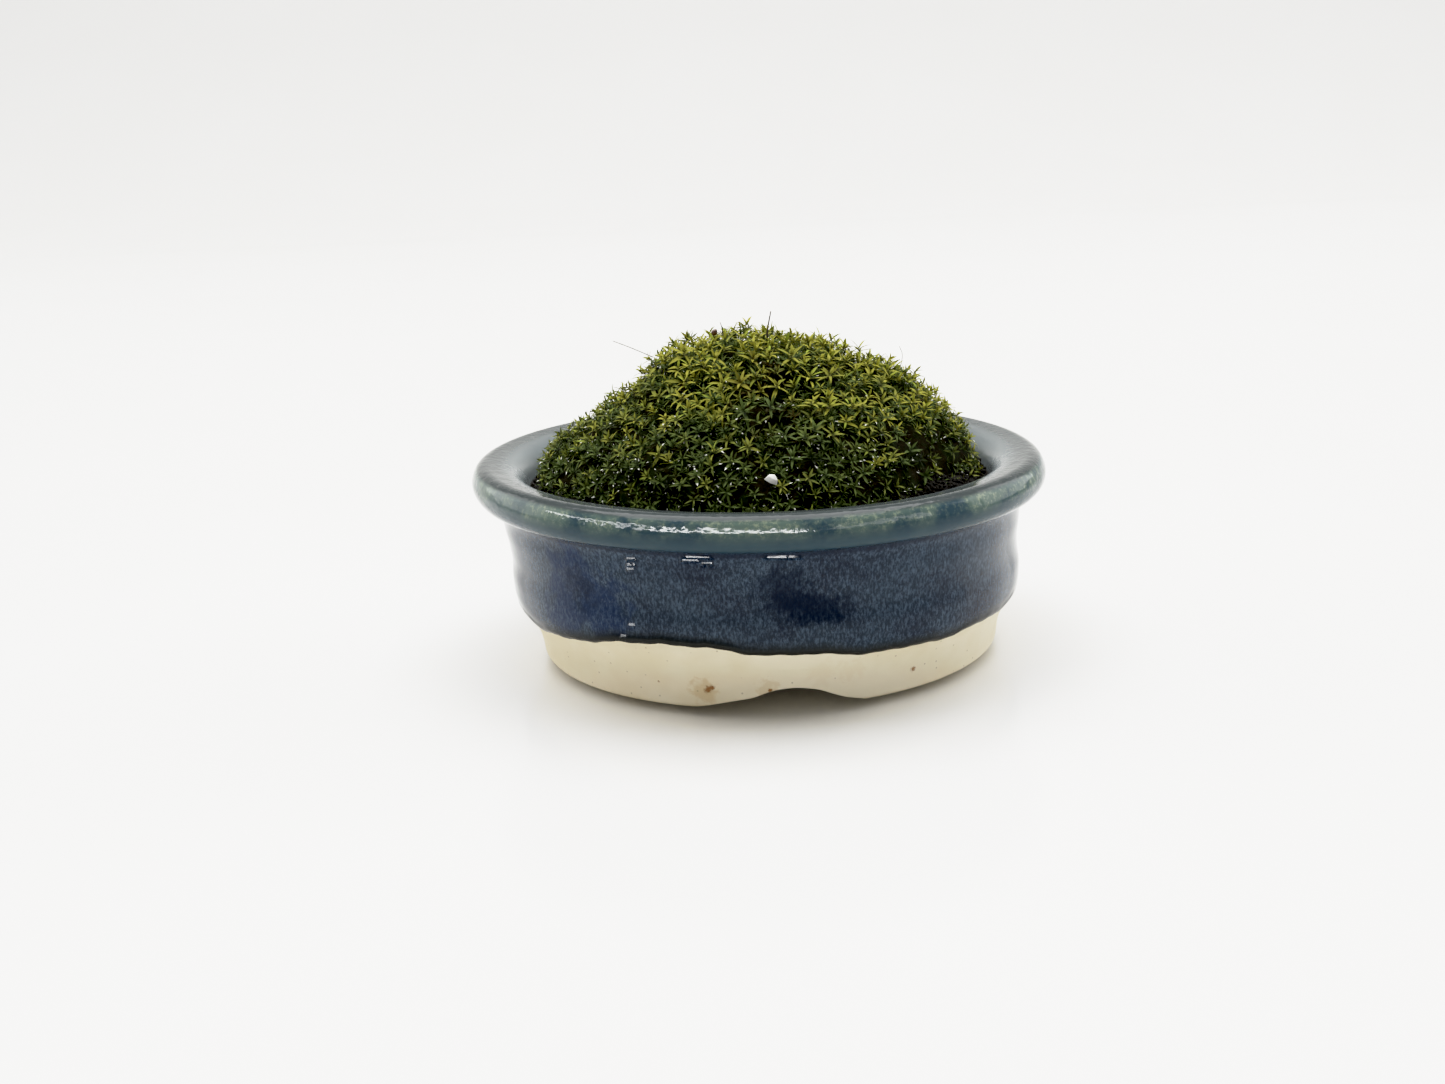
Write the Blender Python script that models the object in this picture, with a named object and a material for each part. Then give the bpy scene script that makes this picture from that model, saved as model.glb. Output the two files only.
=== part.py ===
"""A cushion of moss on a mound of soil, in a small round glazed pot. Metres, +Z up.

The origin is on the surface that the pot stands on, under the middle of its rim. The front of
the pot, with one of the three notches of its foot, faces -Y.
"""

import math

import bmesh
import bpy
import numpy as np
from mathutils import noise

MM = 0.001

# Driving dimensions in millimetres. Heights are above the surface that the pot stands on.
RIM_RADIUS = 40.0
RIM_HEIGHT = 28.1
LIP_HALF_WIDTH = 2.2
LIP_HALF_HEIGHT = 2.5
BODY_RADIUS = 35.6
FOOT_RADIUS = 32.3
FOOT_EDGE_HEIGHT = 1.5
STANDING_RADIUS = 27.0
FOOT_INNER_RADIUS = 24.4
UNDERSIDE_HEIGHT = 4.4
FLOOR_HEIGHT = 7.5
INNER_RADIUS = 31.9
DRAIN_RADIUS = 3.8

# The foot is cut away in three places. One notch's outline: distance along the foot, height.
NOTCH_COUNT = 3
NOTCH_FIRST_ANGLE = -86.6
NOTCH_OUTLINE = (
    (-14.0, 0.5),
    (-12.0, 1.3),
    (-9.5, 1.9),
    (-7.3, 2.35),
    (-5.1, 2.75),
    (-3.0, 3.5),
    (-1.0, 3.85),
    (1.0, 3.85),
    (3.3, 3.4),
    (5.1, 2.65),
    (6.8, 2.0),
    (8.7, 1.45),
    (10.5, 0.5),
)

# In the kiln the wall leaned and the rim tilted a little, so the foot is off the rim's middle.
RIM_LEAN = -0.89
RIM_TILT = 0.8
FOOT_OFFSET = 0.8

SOIL_EDGE_HEIGHT = 24.3
SOIL_MOUND_RISE = 11.5

# The moss stops short of the wall in front, and most of all at an angle to the right.
MOSS_RADIUS = 31.3
MOSS_FRONT_GAP = 0.7
MOSS_RIGHT_GAP = 1.7
MOSS_RIGHT_ANGLE = -35.0
MOSS_RIGHT_WIDTH = 16.0

# The moss's form, as its height on the left and on the right at shares of its radius.
MOSS_FORM = (
    (0.0, 45.5, 45.5),
    (0.12, 45.7, 45.2),
    (0.2, 45.1, 44.9),
    (0.345, 43.9, 43.7),
    (0.45, 42.0, 42.5),
    (0.555, 39.1, 41.3),
    (0.65, 36.7, 40.2),
    (0.745, 34.6, 37.8),
    (0.825, 32.7, 35.3),
    (0.89, 31.0, 32.8),
    (0.955, 28.3, 29.5),
    (1.0, 24.8, 24.8),
)
TUFT_SPACING = 4.2
TUFT_DEPTH = 1.9
TUFT_REACH = 0.6

GRIT_RADIUS = 0.85
GRIT_PLACE = (0.5, -28.8, 30.2)
GRIT_PROPORTIONS = (1.0, 0.8, 0.9)

# Solids that touch keep this gap, because their faceted surfaces must not overlap.
GAP = 0.35

POT_SEGMENTS = 56
SOIL_SEGMENTS = 32
SOIL_RINGS = 9
MOSS_GRID = 44
MOSS_GRID_CROWDING = 1.35

# Broad swellings and hollows of the moss: x, y, height, radius.
MOSS_SWELLINGS = (
    (-12.0, -19.0, 0.8, 6.0),
    (2.0, -17.0, -0.8, 5.0),
    (14.0, -18.0, 0.7, 6.0),
    (23.5, -17.5, -1.2, 3.0),
    (-6.0, 18.0, 0.9, 6.0),
    (13.0, 17.0, -0.8, 5.0),
)


def arc(centre, radii, start, end, steps):
    """Points of an elliptical arc in the (radius, height) plane, from start to end in degrees."""
    turns = [math.radians(start + (end - start) * i / steps) for i in range(steps + 1)]
    return [(centre[0] + radii[0] * math.cos(a), centre[1] + radii[1] * math.sin(a)) for a in turns]


def spline(points, steps):
    """A smooth curve through the points, in steps pieces between each two."""
    ends = [points[0], *points, points[-1]]
    curve = []
    for p, q, r, s in zip(ends, ends[1:], ends[2:], ends[3:]):
        for i in range(steps):
            t = i / steps
            curve.append(tuple(
                0.5 * (2 * b + (c - a) * t + (2 * a - 5 * b + 4 * c - d) * t * t
                       + (3 * b - a - 3 * c + d) * t ** 3)
                for a, b, c, d in zip(p, q, r, s)
            ))
    return curve + [points[-1]]


def inner_wall():
    """The inside of the pot, from the lip's inner edge down to the floor."""
    return [
        (RIM_RADIUS - 5.6, RIM_HEIGHT - 0.7),
        (INNER_RADIUS + 1.2, RIM_HEIGHT - 1.8),
        (INNER_RADIUS + 0.5, RIM_HEIGHT - 3.3),
        (INNER_RADIUS + 0.1, RIM_HEIGHT - 5.4),
        (INNER_RADIUS - 0.3, 15.0),
        (INNER_RADIUS - 1.6, 10.2),
        (INNER_RADIUS - 5.4, FLOOR_HEIGHT),
    ]


def pot_profile():
    """The closed outline of the pot's wall: foot, body, lip, inside, floor, drain hole, underside."""
    foot = [(STANDING_RADIUS, 0.0), (FOOT_RADIUS - 0.3, FOOT_EDGE_HEIGHT - 0.25)]
    body = spline([
        (FOOT_RADIUS, FOOT_EDGE_HEIGHT + 0.1),
        (FOOT_RADIUS + 0.45, 4.5),
        (FOOT_RADIUS + 1.5, 7.0),
        (BODY_RADIUS - 0.4, 9.5),
        (BODY_RADIUS, 12.2),
        (BODY_RADIUS, 15.5),
        (BODY_RADIUS + 0.5, 19.0),
        (BODY_RADIUS + 0.9, 21.5),
        (BODY_RADIUS + 1.6, RIM_HEIGHT - 2 * LIP_HALF_HEIGHT),
    ], 2)
    lip_centre = (RIM_RADIUS - LIP_HALF_WIDTH, RIM_HEIGHT - LIP_HALF_HEIGHT)
    lip = arc(lip_centre, (LIP_HALF_WIDTH, LIP_HALF_HEIGHT), -70, 100, 8)
    floor = [(DRAIN_RADIUS + 0.5, FLOOR_HEIGHT), (DRAIN_RADIUS, FLOOR_HEIGHT - 0.5)]
    underside = [
        (DRAIN_RADIUS, UNDERSIDE_HEIGHT + 0.4),
        (DRAIN_RADIUS + 0.4, UNDERSIDE_HEIGHT),
        (FOOT_INNER_RADIUS - 1.6, UNDERSIDE_HEIGHT),
        (FOOT_INNER_RADIUS - 0.4, UNDERSIDE_HEIGHT - 0.7),
        (FOOT_INNER_RADIUS, 0.4),
        (FOOT_INNER_RADIUS + 0.4, 0.0),
    ]
    return foot + body + lip + inner_wall() + floor + underside


def soil_profile():
    """The soil from the top of its mound, down along the pot's wall, to the floor."""
    side = [(r - GAP, z) for r, z in inner_wall() if FLOOR_HEIGHT < z < SOIL_EDGE_HEIGHT - 1]
    bottom = FLOOR_HEIGHT + GAP
    return mound_outline(0.0) + side + [(INNER_RADIUS - 6.0, bottom), (0.0, bottom)]


def mound_outline(raised):
    """The top of the mound of soil, from its middle to the pot's wall, raised by a distance."""
    radii = [(INNER_RADIUS + 0.5 - GAP) * i / SOIL_RINGS for i in range(SOIL_RINGS + 1)]
    slopes = [max(0.0, 1.0 - (radius / INNER_RADIUS) ** 2) for radius in radii]
    return [(r, SOIL_EDGE_HEIGHT + SOIL_MOUND_RISE * s + raised) for r, s in zip(radii, slopes)]


def moss_edge(angle):
    """Radius of the moss's lower edge, at an angle in radians."""
    front = max(0.0, math.cos(angle + math.pi / 2)) ** 2
    right = math.exp(-((math.degrees(angle) - MOSS_RIGHT_ANGLE) / MOSS_RIGHT_WIDTH) ** 2)
    return MOSS_RADIUS - MOSS_FRONT_GAP * front - MOSS_RIGHT_GAP * right


def moss_height(x, y):
    """Height of the smooth form that the moss's tips reach."""
    angle = math.atan2(y, x)
    share = min(1.0, math.hypot(x, y) / moss_edge(angle))
    shares, left, right = zip(*MOSS_FORM)
    rightness = (1 + math.cos(angle)) / 2
    height = np.interp(share, shares, left) * (1 - rightness)
    height += np.interp(share, shares, right) * rightness
    fade = 1 - share ** 6
    for swelling_x, swelling_y, rise, radius in MOSS_SWELLINGS:
        apart = math.hypot(x - swelling_x, y - swelling_y) / radius
        height += fade * rise * math.exp(-apart * apart)
    return height


def tuft_depth(point):
    """Depth below the tips: none at the middle of a tuft or at the moss's edge, most between."""
    distance = noise.voronoi(point / TUFT_SPACING)[0][0]
    share = min(1.0, math.hypot(point.x, point.y) / moss_edge(math.atan2(point.y, point.x)))
    return TUFT_DEPTH * min(1.0, distance / TUFT_REACH) ** 2 * (1 - share ** 8)


def warp(mesh_builder):
    """Leans and tilts the mesh as the pot is, fully from the rim upwards and not at all at z = 0."""
    for vertex in mesh_builder.verts:
        share = min(1.0, vertex.co.z / RIM_HEIGHT)
        tilt = vertex.co.x * math.tan(math.radians(RIM_TILT))
        vertex.co.x += RIM_LEAN * share
        vertex.co.z -= tilt * share


def turned(profile, segments):
    """A solid turned about the Z axis from its (radius, height) outline."""
    mesh_builder = bmesh.new()
    points = [mesh_builder.verts.new((r, 0.0, z)) for r, z in profile]
    closed = profile[0][0] > 0.0
    pairs = list(zip(points, points[1:])) + ([(points[-1], points[0])] if closed else [])
    edges = [mesh_builder.edges.new(pair) for pair in pairs]
    bmesh.ops.spin(
        mesh_builder, geom=points + edges, cent=(0, 0, 0), axis=(0, 0, 1),
        angle=2 * math.pi, steps=segments, use_merge=True, use_duplicate=False,
    )
    bmesh.ops.remove_doubles(mesh_builder, verts=mesh_builder.verts, dist=1e-4)
    bmesh.ops.recalc_face_normals(mesh_builder, faces=mesh_builder.faces)
    return mesh_builder


def material(name, colour, roughness):
    """A plain surface of the piece's colour and roughness."""
    made = bpy.data.materials.new(name)
    made.use_nodes = True
    surface = made.node_tree.nodes["Principled BSDF"]
    surface.inputs["Base Color"].default_value = (*colour, 1.0)
    surface.inputs["Roughness"].default_value = roughness
    surface.inputs["Metallic"].default_value = 0.0
    return made


def placed(name, mesh_builder, surface, smooth_angle=40.0):
    """An object in the scene from a mesh in millimetres, about the middle of the foot."""
    bmesh.ops.scale(mesh_builder, vec=(MM, MM, MM), verts=mesh_builder.verts)
    mesh = bpy.data.meshes.new(name)
    mesh_builder.to_mesh(mesh)
    mesh_builder.free()
    if surface:
        mesh.materials.append(surface)
    mesh.shade_smooth()
    mesh.set_sharp_from_angle(angle=math.radians(smooth_angle))
    piece = bpy.data.objects.new(name, mesh)
    piece.location.x = FOOT_OFFSET * MM
    bpy.context.scene.collection.objects.link(piece)
    return piece


def cut(piece, cutter):
    """Takes the cutter's shape out of the piece."""
    cutter.hide_render = True
    cutter.display_type = "WIRE"
    modifier = piece.modifiers.new("Cut " + cutter.name, "BOOLEAN")
    modifier.operation = "DIFFERENCE"
    modifier.solver = "EXACT"
    modifier.object = cutter


def notch_cutter(name, angle):
    """A bar with a bell-shaped top, which cuts one notch across the foot."""
    mesh_builder = bmesh.new()
    bell = spline(list(NOTCH_OUTLINE), 2)
    outline = [(bell[0][0] - 1.0, -1.0), *bell, (bell[-1][0] + 1.0, -1.0)]
    start = FOOT_INNER_RADIUS - 4.0
    face = mesh_builder.faces.new([mesh_builder.verts.new((start, s, z)) for s, z in outline])
    grown = bmesh.ops.extrude_face_region(mesh_builder, geom=[face])["geom"]
    far = [item for item in grown if isinstance(item, bmesh.types.BMVert)]
    bmesh.ops.translate(mesh_builder, vec=(FOOT_RADIUS - start + 4.0, 0, 0), verts=far)
    bmesh.ops.recalc_face_normals(mesh_builder, faces=mesh_builder.faces)
    cutter = placed(name, mesh_builder, None)
    cutter.rotation_euler.z = math.radians(angle)
    return cutter


def make_pot():
    """The pot: one fired piece with a wide lip, glazed down to its bare foot ring."""
    mesh_builder = turned(pot_profile(), POT_SEGMENTS)
    warp(mesh_builder)
    pot = placed("pot", mesh_builder, material("blue glaze", (0.045, 0.075, 0.16), 0.12))
    for i in range(NOTCH_COUNT):
        cut(pot, notch_cutter(f"notch_cutter_{i + 1}", NOTCH_FIRST_ANGLE + i * 360 / NOTCH_COUNT))
    return pot


def make_soil():
    """The soil, mounded up under the moss."""
    mesh_builder = turned(soil_profile(), SOIL_SEGMENTS)
    warp(mesh_builder)
    return placed("soil", mesh_builder, material("damp soil", (0.020, 0.014, 0.009), 0.9))


def mound_cutter():
    """The mound of soil with the gap that the moss keeps above it, wide enough to trim its edge."""
    outer, low = INNER_RADIUS + 3.0, SOIL_EDGE_HEIGHT - 9.0
    skirt = [(outer, SOIL_EDGE_HEIGHT + GAP), (outer, low), (0.0, low)]
    mesh_builder = turned(mound_outline(GAP) + skirt, SOIL_SEGMENTS)
    warp(mesh_builder)
    return placed("mound_cutter", mesh_builder, None)


def grit_shape(extra):
    """A small angular chip of stone, grown by extra all round."""
    mesh_builder = bmesh.new()
    bmesh.ops.create_icosphere(mesh_builder, subdivisions=1, radius=1.0)
    for vertex in mesh_builder.verts:
        size = GRIT_RADIUS * (1.0 + 0.22 * noise.noise(vertex.co * 1.7)) + extra
        vertex.co = vertex.co.normalized() * size
    bmesh.ops.scale(mesh_builder, vec=GRIT_PROPORTIONS, verts=mesh_builder.verts)
    bmesh.ops.translate(mesh_builder, vec=GRIT_PLACE, verts=mesh_builder.verts)
    return mesh_builder


def moss_dome():
    """The cushion as a closed dome: a grid drawn out to a disc, raised to the tufts, with a skirt."""
    mesh_builder = bmesh.new()
    bmesh.ops.create_grid(mesh_builder, x_segments=MOSS_GRID, y_segments=MOSS_GRID, size=1.0)
    edge = [item for item in mesh_builder.edges if item.is_boundary]
    for vertex in mesh_builder.verts:
        u = vertex.co.x * math.sqrt(1 - vertex.co.y ** 2 / 2)
        v = vertex.co.y * math.sqrt(1 - vertex.co.x ** 2 / 2)
        angle = math.atan2(v, u)
        share = min(1.0, math.hypot(u, v))
        radius = (1 - (1 - share) ** MOSS_GRID_CROWDING) * moss_edge(angle)
        x, y = radius * math.cos(angle), radius * math.sin(angle)
        vertex.co = (x, y, moss_height(x, y))
    for vertex in mesh_builder.verts:
        vertex.co.z -= tuft_depth(vertex.co)
    skirt = bmesh.ops.extrude_edge_only(mesh_builder, edges=edge)["geom"]
    low = [item for item in skirt if isinstance(item, bmesh.types.BMVert)]
    for vertex in low:
        vertex.co.z = SOIL_EDGE_HEIGHT - 4.0
    rim = [item for item in skirt if isinstance(item, bmesh.types.BMEdge) and item.is_boundary]
    bmesh.ops.contextual_create(mesh_builder, geom=rim)
    bmesh.ops.recalc_face_normals(mesh_builder, faces=mesh_builder.faces)
    return mesh_builder


def make_moss():
    """The moss cushion, which lies on the mound of soil and holds the chip of grit in a pocket."""
    mesh_builder = moss_dome()
    warp(mesh_builder)
    green = material("moss green", (0.090, 0.120, 0.022), 0.8)
    moss = placed("moss_cushion", mesh_builder, green, smooth_angle=180.0)
    cut(moss, mound_cutter())
    cut(moss, placed("grit_pocket_cutter", grit_shape(GAP), None))
    return moss


def make_grit():
    """The white chip of grit that lies on the front of the moss."""
    return placed("white_grit", grit_shape(0.0), material("white grit", (0.85, 0.83, 0.78), 0.6))


def main():
    """Clears the scene and builds the pot, the soil, the moss and the chip of grit."""
    for old in list(bpy.data.objects):
        bpy.data.objects.remove(old)
    make_pot()
    make_soil()
    make_moss()
    make_grit()


main()
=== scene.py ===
"""A domed cushion of star moss on a mound of soil, in a low glazed pot, dressed for rendering.

Each piece is shaped in millimetres, leaned and tilted as the fired pot is, and turned into metres
when it is finished. The front of the pot, with one notch of its foot, faces -Y, and +Z is up.
"""

import logging
import math
from dataclasses import dataclass
from enum import Enum, IntEnum
from typing import Iterable, Sequence

import bmesh
import bpy
import numpy as np
from mathutils import Matrix, Vector, noise


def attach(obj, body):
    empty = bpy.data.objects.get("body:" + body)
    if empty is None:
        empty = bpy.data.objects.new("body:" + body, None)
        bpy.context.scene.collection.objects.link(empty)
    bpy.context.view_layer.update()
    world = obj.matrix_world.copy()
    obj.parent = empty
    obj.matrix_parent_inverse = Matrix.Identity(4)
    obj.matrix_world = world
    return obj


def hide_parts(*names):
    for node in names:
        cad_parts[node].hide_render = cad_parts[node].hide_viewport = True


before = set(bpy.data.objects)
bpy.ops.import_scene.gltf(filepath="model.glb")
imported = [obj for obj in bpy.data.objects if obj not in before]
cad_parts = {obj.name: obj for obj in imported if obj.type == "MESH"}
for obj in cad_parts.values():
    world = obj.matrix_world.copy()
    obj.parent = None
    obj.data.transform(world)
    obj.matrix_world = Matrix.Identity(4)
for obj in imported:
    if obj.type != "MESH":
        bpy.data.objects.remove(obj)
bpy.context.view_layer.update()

LOG = logging.getLogger("moss pot")
MM = 0.001
GOLDEN_ANGLE = 137.5
WELD_MM = 1e-4
Colour = tuple[float, float, float]
Point = tuple[float, float, float]
Outline = list[tuple[float, float]]
Range = tuple[float, float]
Spot = tuple[Point, float, float]
LampPlan = tuple[str, Point, tuple[float, float], float]


def arc(centre: tuple[float, float], radii: tuple[float, float], start: float, end: float,
        steps: int) -> Outline:
    """Points of an elliptical arc in the (radius, height) plane.

    Args:
        centre: The middle of the ellipse.
        radii: Its half width and half height.
        start: Angle of the first point, in degrees.
        end: Angle of the last point.
        steps: Number of stretches between them.

    Returns:
        The points from start to end.
    """
    turns = [math.radians(start + (end - start) * i / steps) for i in range(steps + 1)]
    return [
        (centre[0] + radii[0] * math.cos(a), centre[1] + radii[1] * math.sin(a)) for a in turns
    ]


def spline(points: Sequence[Sequence[float]], steps: int) -> list[tuple[float, ...]]:
    """A smooth curve through some points.

    Args:
        points: What the curve passes through.
        steps: Number of stretches between each two of them.

    Returns:
        The curve's points, the first and the last of the given ones included.
    """
    ends = [points[0], *points, points[-1]]
    curve = []
    for p, q, r, s in zip(ends, ends[1:], ends[2:], ends[3:]):
        for i in range(steps):
            t = i / steps
            curve.append(tuple(
                0.5 * (2 * b + (c - a) * t + (2 * a - 5 * b + 4 * c - d) * t * t
                       + (3 * b - a - 3 * c + d) * t ** 3)
                for a, b, c, d in zip(p, q, r, s)
            ))
    return curve + [tuple(points[-1])]


def smooth_step(values: np.ndarray, low: float, high: float) -> np.ndarray:
    """Zero below low, one above high and a smooth rise between, for each value."""
    share = np.clip((values - low) / (high - low), 0.0, 1.0)
    return share * share * (3 - 2 * share)


def rumple(points: np.ndarray, size: float, seed: float = 0.0) -> np.ndarray:
    """Smooth noise from -1 to 1 at each point, with lumps of about that size in millimetres."""
    shift = Vector((seed, -seed, 2 * seed))
    return np.array([noise.noise(Vector(point) / size + shift) for point in points])


def coordinates(builder: bmesh.types.BMesh) -> np.ndarray:
    """The builder's vertices as rows of x, y and z."""
    return np.array([vertex.co for vertex in builder.verts])


def move_to(builder: bmesh.types.BMesh, points: np.ndarray) -> None:
    """Moves the builder's vertices to the points, row by row."""
    for vertex, point in zip(builder.verts, points):
        vertex.co = point


def turned(outline: Outline, segments: int) -> bmesh.types.BMesh:
    """A shape turned about the Z axis.

    Args:
        outline: Its (radius, height) points, closed unless the first one lies on the axis.
        segments: Number of steps round the axis.

    Returns:
        The turned mesh, its faces pointing out.
    """
    builder = bmesh.new()
    points = [builder.verts.new((r, 0.0, z)) for r, z in outline]
    pairs = list(zip(points, points[1:]))
    if outline[0][0] > 0.0:
        pairs.append((points[-1], points[0]))
    edges = [builder.edges.new(pair) for pair in pairs]
    bmesh.ops.spin(
        builder, geom=points + edges, cent=(0, 0, 0), axis=(0, 0, 1),
        angle=2 * math.pi, steps=segments, use_merge=True, use_duplicate=False,
    )
    bmesh.ops.remove_doubles(builder, verts=builder.verts, dist=WELD_MM)
    bmesh.ops.recalc_face_normals(builder, faces=builder.faces)
    return builder


@dataclass(frozen=True)
class KilnLean:
    """How the wall leaned and the rim tilted in the kiln, fully from the rim upwards.

    The foot is a little to the right of the origin, which is under the middle of the rim.
    """

    lean: float = -0.89
    tilt: float = 0.8
    rim_height: float = 28.1
    foot_offset: float = 0.8

    def moved(self, points: np.ndarray) -> np.ndarray:
        """The points leaned and tilted.

        Args:
            points: Rows of x, y and z in millimetres, as turned about the middle of the foot.

        Returns:
            The same rows as they stand in the fired pot.
        """
        share = np.minimum(1.0, points[:, 2] / self.rim_height)
        leaned = points.copy()
        leaned[:, 0] += self.lean * share + self.foot_offset
        leaned[:, 2] -= points[:, 0] * math.tan(math.radians(self.tilt)) * share
        return leaned


KILN = KilnLean()


class Recipe:
    """A material in the making: its node tree, with short calls for the nodes it needs."""

    def __init__(self, name: str) -> None:
        """Starts a material with its Principled shader.

        Args:
            name: The material's name.
        """
        self.material = bpy.data.materials.new(name)
        self.material.use_nodes = True
        self.tree = self.material.node_tree
        self.surface = self.tree.nodes["Principled BSDF"]
        self.output = self.tree.nodes["Material Output"]
        self.place = self.node("ShaderNodeTexCoord").outputs["Object"]

    def node(self, kind: str, inputs: dict | None = None, **settings) -> bpy.types.ShaderNode:
        """Adds a node.

        Args:
            kind: Blender's name for its type.
            inputs: What each input socket gets, a value or another node's output.
            **settings: The node's own properties.

        Returns:
            The new node.
        """
        made = self.tree.nodes.new(kind)
        for name, value in settings.items():
            setattr(made, name, value)
        for name, value in (inputs or {}).items():
            self.feed(made.inputs[name], value)
        return made

    def feed(self, socket: bpy.types.NodeSocket, value: object) -> None:
        """Links an output to an input socket, or sets the socket's own value.

        Args:
            socket: The input socket.
            value: A node's output, a colour, or what else the socket takes.
        """
        if isinstance(value, bpy.types.NodeSocket):
            self.tree.links.new(value, socket)
        elif isinstance(value, tuple) and len(value) == 3 and socket.type == "RGBA":
            socket.default_value = (*value, 1.0)
        else:
            socket.default_value = value

    def axis(self, name: str) -> bpy.types.NodeSocket:
        """One of the object's coordinates: X, Y or Z."""
        return self.node("ShaderNodeSeparateXYZ", {0: self.place}).outputs[name]

    def stretched(self, scale: Point) -> bpy.types.NodeSocket:
        """The object's coordinates multiplied by a scale along each axis."""
        return self.node("ShaderNodeMapping", {"Vector": self.place, "Scale": scale}).outputs[0]

    def clouds(self, size: float, detail: float = 3.0, rough: float = 0.5,
               along: bpy.types.NodeSocket | None = None) -> bpy.types.NodeSocket:
        """Noise from 0 to 1.

        Args:
            size: Width of its lumps in millimetres.
            detail: Number of finer layers.
            rough: Strength of the finer layers.
            along: Coordinates to use in place of the object's.

        Returns:
            The noise's value.
        """
        inputs = {"Vector": along or self.place, "Scale": 1 / (size * MM), "Detail": detail,
                  "Roughness": rough}
        return self.node("ShaderNodeTexNoise", inputs).outputs["Fac"]

    def cells(self, size: float) -> bpy.types.NodeSocket:
        """Distance from the middle of the nearest cell, with cells of a size in millimetres."""
        inputs = {"Vector": self.place, "Scale": 1 / (size * MM)}
        return self.node("ShaderNodeTexVoronoi", inputs).outputs["Distance"]

    def fade(self, value: bpy.types.NodeSocket, low: float, high: float,
             bottom: float = 0.0, top: float = 1.0,
             way: str = "SMOOTHSTEP") -> bpy.types.NodeSocket:
        """Spreads a value over a new range.

        Args:
            value: What is spread.
            low: Where the new range starts.
            high: Where it ends.
            bottom: The result up to low.
            top: The result from high on.
            way: Blender's name for the way it runs between the two.

        Returns:
            The spread value.
        """
        inputs = {
            "Value": value, "From Min": low, "From Max": high, "To Min": bottom, "To Max": top,
        }
        return self.node("ShaderNodeMapRange", inputs, interpolation_type=way).outputs[0]

    def sums(self, operation: str, first: object, second: object = 0.0) -> bpy.types.NodeSocket:
        """One sum on two values, by Blender's name for the operation."""
        return self.node("ShaderNodeMath", {0: first, 1: second}, operation=operation).outputs[0]

    def times(self, first: object, second: object) -> bpy.types.NodeSocket:
        """The two values multiplied."""
        return self.sums("MULTIPLY", first, second)

    def blend(self, share: object, under: object, over: object) -> bpy.types.NodeSocket:
        """A colour laid over another.

        Args:
            share: How much of the second one shows, from 0 to 1.
            under: The first colour.
            over: The second colour.

        Returns:
            The mixed colour.
        """
        inputs = {0: share, 6: under, 7: over}
        return self.node("ShaderNodeMix", inputs, data_type="RGBA").outputs[2]

    def marks(self, name: str) -> list[bpy.types.NodeSocket]:
        """Reads a colour attribute of the mesh.

        Args:
            name: The attribute's name.

        Returns:
            Its four channels.
        """
        read = self.node("ShaderNodeAttribute", attribute_name=name)
        parts = self.node("ShaderNodeSeparateColor", {"Color": read.outputs["Color"]})
        return [*parts.outputs, read.outputs["Alpha"]]

    def spot(self, centre: Point, radius: float, ragged: float = 0.5) -> bpy.types.NodeSocket:
        """One at a point and none beyond a radius.

        Args:
            centre: The spot's middle, in millimetres.
            radius: Its reach.
            ragged: How uneven its edge is.

        Returns:
            The spot's strength, from 0 to 1.
        """
        middle = tuple(value * MM for value in centre)
        inputs = {0: self.place, 1: middle}
        apart = self.node("ShaderNodeVectorMath", inputs, operation="DISTANCE").outputs["Value"]
        wander = self.fade(self.clouds(radius * 0.6), 0.3, 0.7, -ragged * radius * MM, 0.0)
        return self.fade(self.sums("ADD", apart, wander), 0.1 * radius * MM, radius * MM, 1.0, 0.0)

    def spotted(self, colour: object, over: Colour, spots: Iterable[Spot],
                ragged: float = 0.5) -> bpy.types.NodeSocket:
        """Lays some spots over a colour.

        Args:
            colour: The colour under them.
            over: Their own colour.
            spots: The middle, radius and strength of each.
            ragged: How uneven their edges are.

        Returns:
            The spotted colour.
        """
        for centre, radius, strength in spots:
            reach = self.times(self.spot(centre, radius, ragged), strength)
            colour = self.blend(reach, colour, over)
        return colour

    def relief(self, height: bpy.types.NodeSocket, depth: float,
               over: bpy.types.NodeSocket | None = None) -> bpy.types.NodeSocket:
        """A bump of the surface.

        Args:
            height: Its height, from 0 to 1.
            depth: The height of 1, in millimetres.
            over: A bump that it lies on.

        Returns:
            The bumped normal.
        """
        inputs = {"Height": height, "Distance": depth * MM, "Strength": 1.0}
        if over:
            inputs["Normal"] = over
        return self.node("ShaderNodeBump", inputs).outputs[0]

    def finished(self, **inputs: object) -> bpy.types.Material:
        """The material, with its shader's sockets set.

        Args:
            **inputs: The Principled shader's sockets, with _ for each space of their names.

        Returns:
            The material.
        """
        for name, value in inputs.items():
            self.feed(self.surface.inputs[name.replace("_", " ")], value)
        return self.material


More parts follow.
